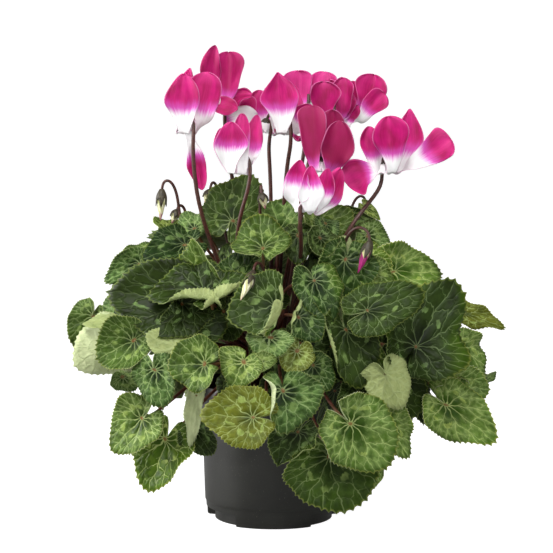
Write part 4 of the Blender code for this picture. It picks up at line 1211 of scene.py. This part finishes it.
def pot_shapes():
    """The grow pot: a tapered wall turned about Z, with a rim, and a foot that three drain notches cut."""
    # From the middle of the base, up the outside, over the rim and down the inside to the floor.
    profile = [
        (0.0, 0.0), (20.0, 0.0), (45.0, 0.0), (45.3, 0.0), (50.0, 0.0), (51.1, 0.5), (51.6, 1.5),
        (51.9, 9.4), (51.9, 9.6), (52.0, 11.0), (52.1, 13.0), (52.3, 14.0), (52.8, 14.6), (52.9, 15.4),
        (53.8, 42.0), (54.9, 70.0), (56.0, 93.6), (56.4, 94.0), (59.4, 94.1), (60.0, 94.6), (60.0, 104.0),
        (59.7, 104.8), (59.2, 105.0), (58.7, 104.8), (58.4, 104.0), (54.9, 93.0), (54.8, 91.6),
        (51.7, 15.5), (43.0, 9.0), (43.0, 2.0), (20.0, 2.0), (0.0, 2.0),
    ]

    def notch(points):
        """Pull the foot in at the notches, to either side of the front and at the back."""
        turn = np.abs(np.arctan2(points[..., 0], -points[..., 1]))
        around = np.minimum(np.abs(turn - NOTCH_FROM_FRONT), math.pi - turn)
        radius = np.hypot(points[..., 0], points[..., 1])
        cut = (around < NOTCH_HALF_ANGLE) & (points[..., 2] < NOTCH_HEIGHT) & (radius > NOTCH_RADIUS)
        points[..., :2] *= np.where(cut, NOTCH_RADIUS / radius, 1.0)[..., None]
        return points

    return [shape_of(*turned(profile, sides=216, shape=notch))]


def peat_shapes():
    """The peat: it fills the pot, and its top is a heap of crumbs that dips at the wall."""
    side = [(0.0, 2.3), (42.7, 2.3), (42.7, 9.4), (51.3, 16.2), (SOIL_RADIUS - 0.4, 91.0)]
    heap = [(radius, SOIL_TOP) for radius in np.linspace(SOIL_RADIUS - 1.5, 20.0, 34)]
    profile = [*side, *heap, (0.0, SOIL_TOP - 6.0)]

    def crumble(points):
        """Raise and lower the top by smooth lumps of two sizes."""
        lumps = hills(points, scale=3.5, seed=5) * 1.3 + hills(points, scale=1.2, seed=6) * 0.6
        points[..., 2] += np.where(points[..., 2] > SOIL_TOP - 1.0, lumps - 0.8, 0.0)
        return points

    return [shape_of(*turned(profile, sides=180, shape=crumble))]


def corm_shapes():
    """The corm: a flattened ball, lumpy and wrinkled."""
    turn = np.linspace(-math.pi / 2, math.pi / 2, 26)
    profile = [(CORM_RADIUS * math.cos(a), CORM_CENTRE + CORM_HALF_HEIGHT * math.sin(a)) for a in turn]

    def wrinkle(points):
        """Move each point in or out from the corm's middle by smooth lumps."""
        centre = np.array((0.0, 0.0, CORM_CENTRE))
        return centre + (points - centre) * (0.98 + 0.03 * hills(points, scale=6.0, seed=7))[..., None]

    return [shape_of(*turned(profile, sides=72, shape=wrinkle))]


# ---------------------------------------------------------------- rows of leaves


def dome(compass, height, layer):
    """A point of the plant's dome, by its compass angle and height angle in degrees and its layer.

    The layer is the share of the dome's size: 1 is its skin.
    """
    compass, height = math.radians(compass), math.radians(height)
    level = math.cos(height) * layer
    return np.array((DOME_WIDTH * level * math.cos(compass), DOME_DEPTH * level * math.sin(compass),
                     DOME_WAIST + DOME_RISE * math.sin(height) * layer))


def ring_of_leaves(ring, seed):
    """Leaves in a row round the dome between two compass angles, a little out of line, tips down."""
    rng = np.random.default_rng(seed)
    leaves = []
    for number in range(ring.count):
        place = (number + 0.5 + rng.uniform(-0.18, 0.18)) / ring.count
        compass = ring.first + (ring.last - ring.first) * place
        height = ring.height + rng.uniform(-5.0, 5.0)
        junction = dome(compass, height, ring.layer * 0.88)
        turn = rng.uniform(-12.0, 12.0)
        tip = dome(compass + turn, height - RING_DROP * rng.uniform(0.7, 1.0), ring.layer)
        leaves.append(Leaf(tuple(junction), tuple(tip), ring.tones[number % len(ring.tones)],
                           roll=rng.uniform(-20.0, 20.0), width=rng.uniform(0.95, 1.2),
                           cup=rng.uniform(-0.1, 0.25), wave=rng.uniform(0.03, 0.06)))
    return leaves


# ---------------------------------------------------------------- stage


def light(name, place, target, size, power, spread=180.0):
    """Add a square soft light that looks at a target, in metres and watts, and spreads by an angle."""
    data = bpy.data.lights.new(name, "AREA")
    data.shape = "SQUARE"
    data.size = size
    data.energy = power
    data.spread = math.radians(spread)
    lamp = bpy.data.objects.new(name, data)
    lamp.location = place
    lamp.rotation_euler = (Vector(target) - Vector(place)).to_track_quat("-Z", "Y").to_euler()
    bpy.context.scene.collection.objects.link(lamp)


def build_stage():
    """The floor, the lights, the white surround and the camera."""
    scene = bpy.context.scene
    mesh = bpy.data.meshes.new("floor")
    mesh.from_pydata([(-6, -4, 0), (6, -4, 0), (6, 9, 0), (-6, 9, 0)], [], [(0, 1, 2, 3)])
    floor = bpy.data.objects.new("floor", mesh)
    # Matt paper. It glows white to the camera, and throws less light up into the plant.
    paper, n = new_material("floor_pale_paper")
    glow = n("MapRange", n("LightPath", out="Is Camera Ray"), 0.0, 1.0, FLOOR_GLOW, FLOOR_GLOW_SEEN)
    n("OutputMaterial", n("BsdfPrincipled", Base_Color="#a8a8a8", Roughness=0.9, Emission_Color="#ffffff",
                          Emission_Strength=glow))
    mesh.materials.append(paper)
    scene.collection.objects.link(floor)

    world = bpy.data.worlds.new("white_surround")
    scene.world = world
    world.use_nodes = True
    world.node_tree.nodes.clear()
    n = partial(node, world.node_tree)
    strength = n("MapRange", n("LightPath", out="Is Camera Ray"), 0.0, 1.0, SURROUND_LIGHT, SURROUND_SEEN)
    n("OutputWorld", n("Background", "#ffffff", strength))
    light("key_light", (-0.55, -1.25, 2.2), (0.0, 0.0, 0.18), size=1.0, power=42.0)
    light("fill_light", (1.2, -1.8, 1.0), (0.0, 0.0, 0.18), size=1.2, power=8.0)
    light("side_light", (-1.5, -0.1, 0.5), (0.0, 0.0, 0.08), size=0.7, power=24.0)
    light("flower_light", (0.15, -1.3, 0.9), (0.0, 0.0, 0.31), size=0.6, power=0.65, spread=40.0)
    scene.view_settings.view_transform = "Standard"

    data = bpy.data.cameras.new("camera")
    data.lens = CAMERA_LENS
    data.sensor_width = CAMERA_SENSOR
    camera = bpy.data.objects.new("camera", data)
    camera.location = CAMERA_PLACE
    camera.rotation_euler = (math.radians(90.0 + CAMERA_PITCH), 0.0, 0.0)
    scene.collection.objects.link(camera)
    scene.camera = camera


# ---------------------------------------------------------------- all of it


def build_plant():
    """Add each leaf, flower and bud that has a solid, and then the leaves that have none, in groups."""
    leaf_skins = [
        leaf_face(),
        leaf_back(),
        skin("petiole_ruddy_skin", "#5a3024", "#6f3f30", 0.45, tip="#7c6438", grain=0.003),
    ]
    stalk_skins = [
        skin("flower_stalk_dark_skin", "#34201a", "#5c3228", 0.4),
        skin("calyx_brown_green_skin", "#2e2a20", "#4d4530", 0.5),
    ]
    petal_skins = [petal_skin()]
    bud_skins = [*stalk_skins, bud_petals()]

    ends = [leaf.junction for leaf in LEAVES]
    ends += [flower.mouth for flower in FLOWERS]
    ends += [bud.bend for bud in BUDS]
    starts = iter(crown_starts([Vector(end) for end in ends]))
    for number, leaf in enumerate(LEAVES, 1):
        shapes = leaf_shapes(leaf, next(starts), FINE, number * LEAF_SEED_STEP)
        add_piece(f"leaf_{number:02d}_blade", shapes, leaf_skins, [f"leaf_{number:02d}"])
    for number, flower in enumerate(FLOWERS, 1):
        name = f"flower_{number:02d}"
        shapes = flower_stalk_shapes(flower, next(starts))
        add_piece(name + "_stalk", shapes, stalk_skins, [f"flower_stalk_{number:02d}"])
        shapes = corolla_shapes(flower, number)
        add_piece(name + "_petals", shapes, petal_skins, [f"corolla_{number:02d}"])
    for number, bud in enumerate(BUDS, 1):
        name = f"bud_{number:02d}"
        shapes = bud_shapes(bud, next(starts))
        add_piece(name + "_furled", shapes, bud_skins, [name])

    groups = {name: (leaves, FINE) for name, leaves in MORE_LEAVES.items()}
    for seed, (name, ring) in enumerate(RINGS.items(), FIRST_RING_SEED):
        groups[name] = (ring_of_leaves(ring, seed), ring.detail)
    for number, (name, (leaves, detail)) in enumerate(groups.items()):
        shapes = []
        for index, leaf in enumerate(leaves, FIRST_GROUP_SEED + number * GROUP_SEED_STEP):
            shapes += leaf_shapes(leaf, leaf_start(leaf), detail, LEAF_SEED_STEP * index)
        add_piece(f"leaves_{name}", shapes, leaf_skins)


build_stage()
build_plant()
add_piece("pot_moulded", pot_shapes(), [pot_plastic()], ["pot"], crease=35.0)
add_piece("peat_fill", peat_shapes(), [peat()], ["potting_mix"])
cork = skin("corm_cork", "#3d2718", "#6b4a30", 0.85, grain=0.003, depth=0.001)
add_piece("corm_skin", corm_shapes(), [cork], ["corm"])
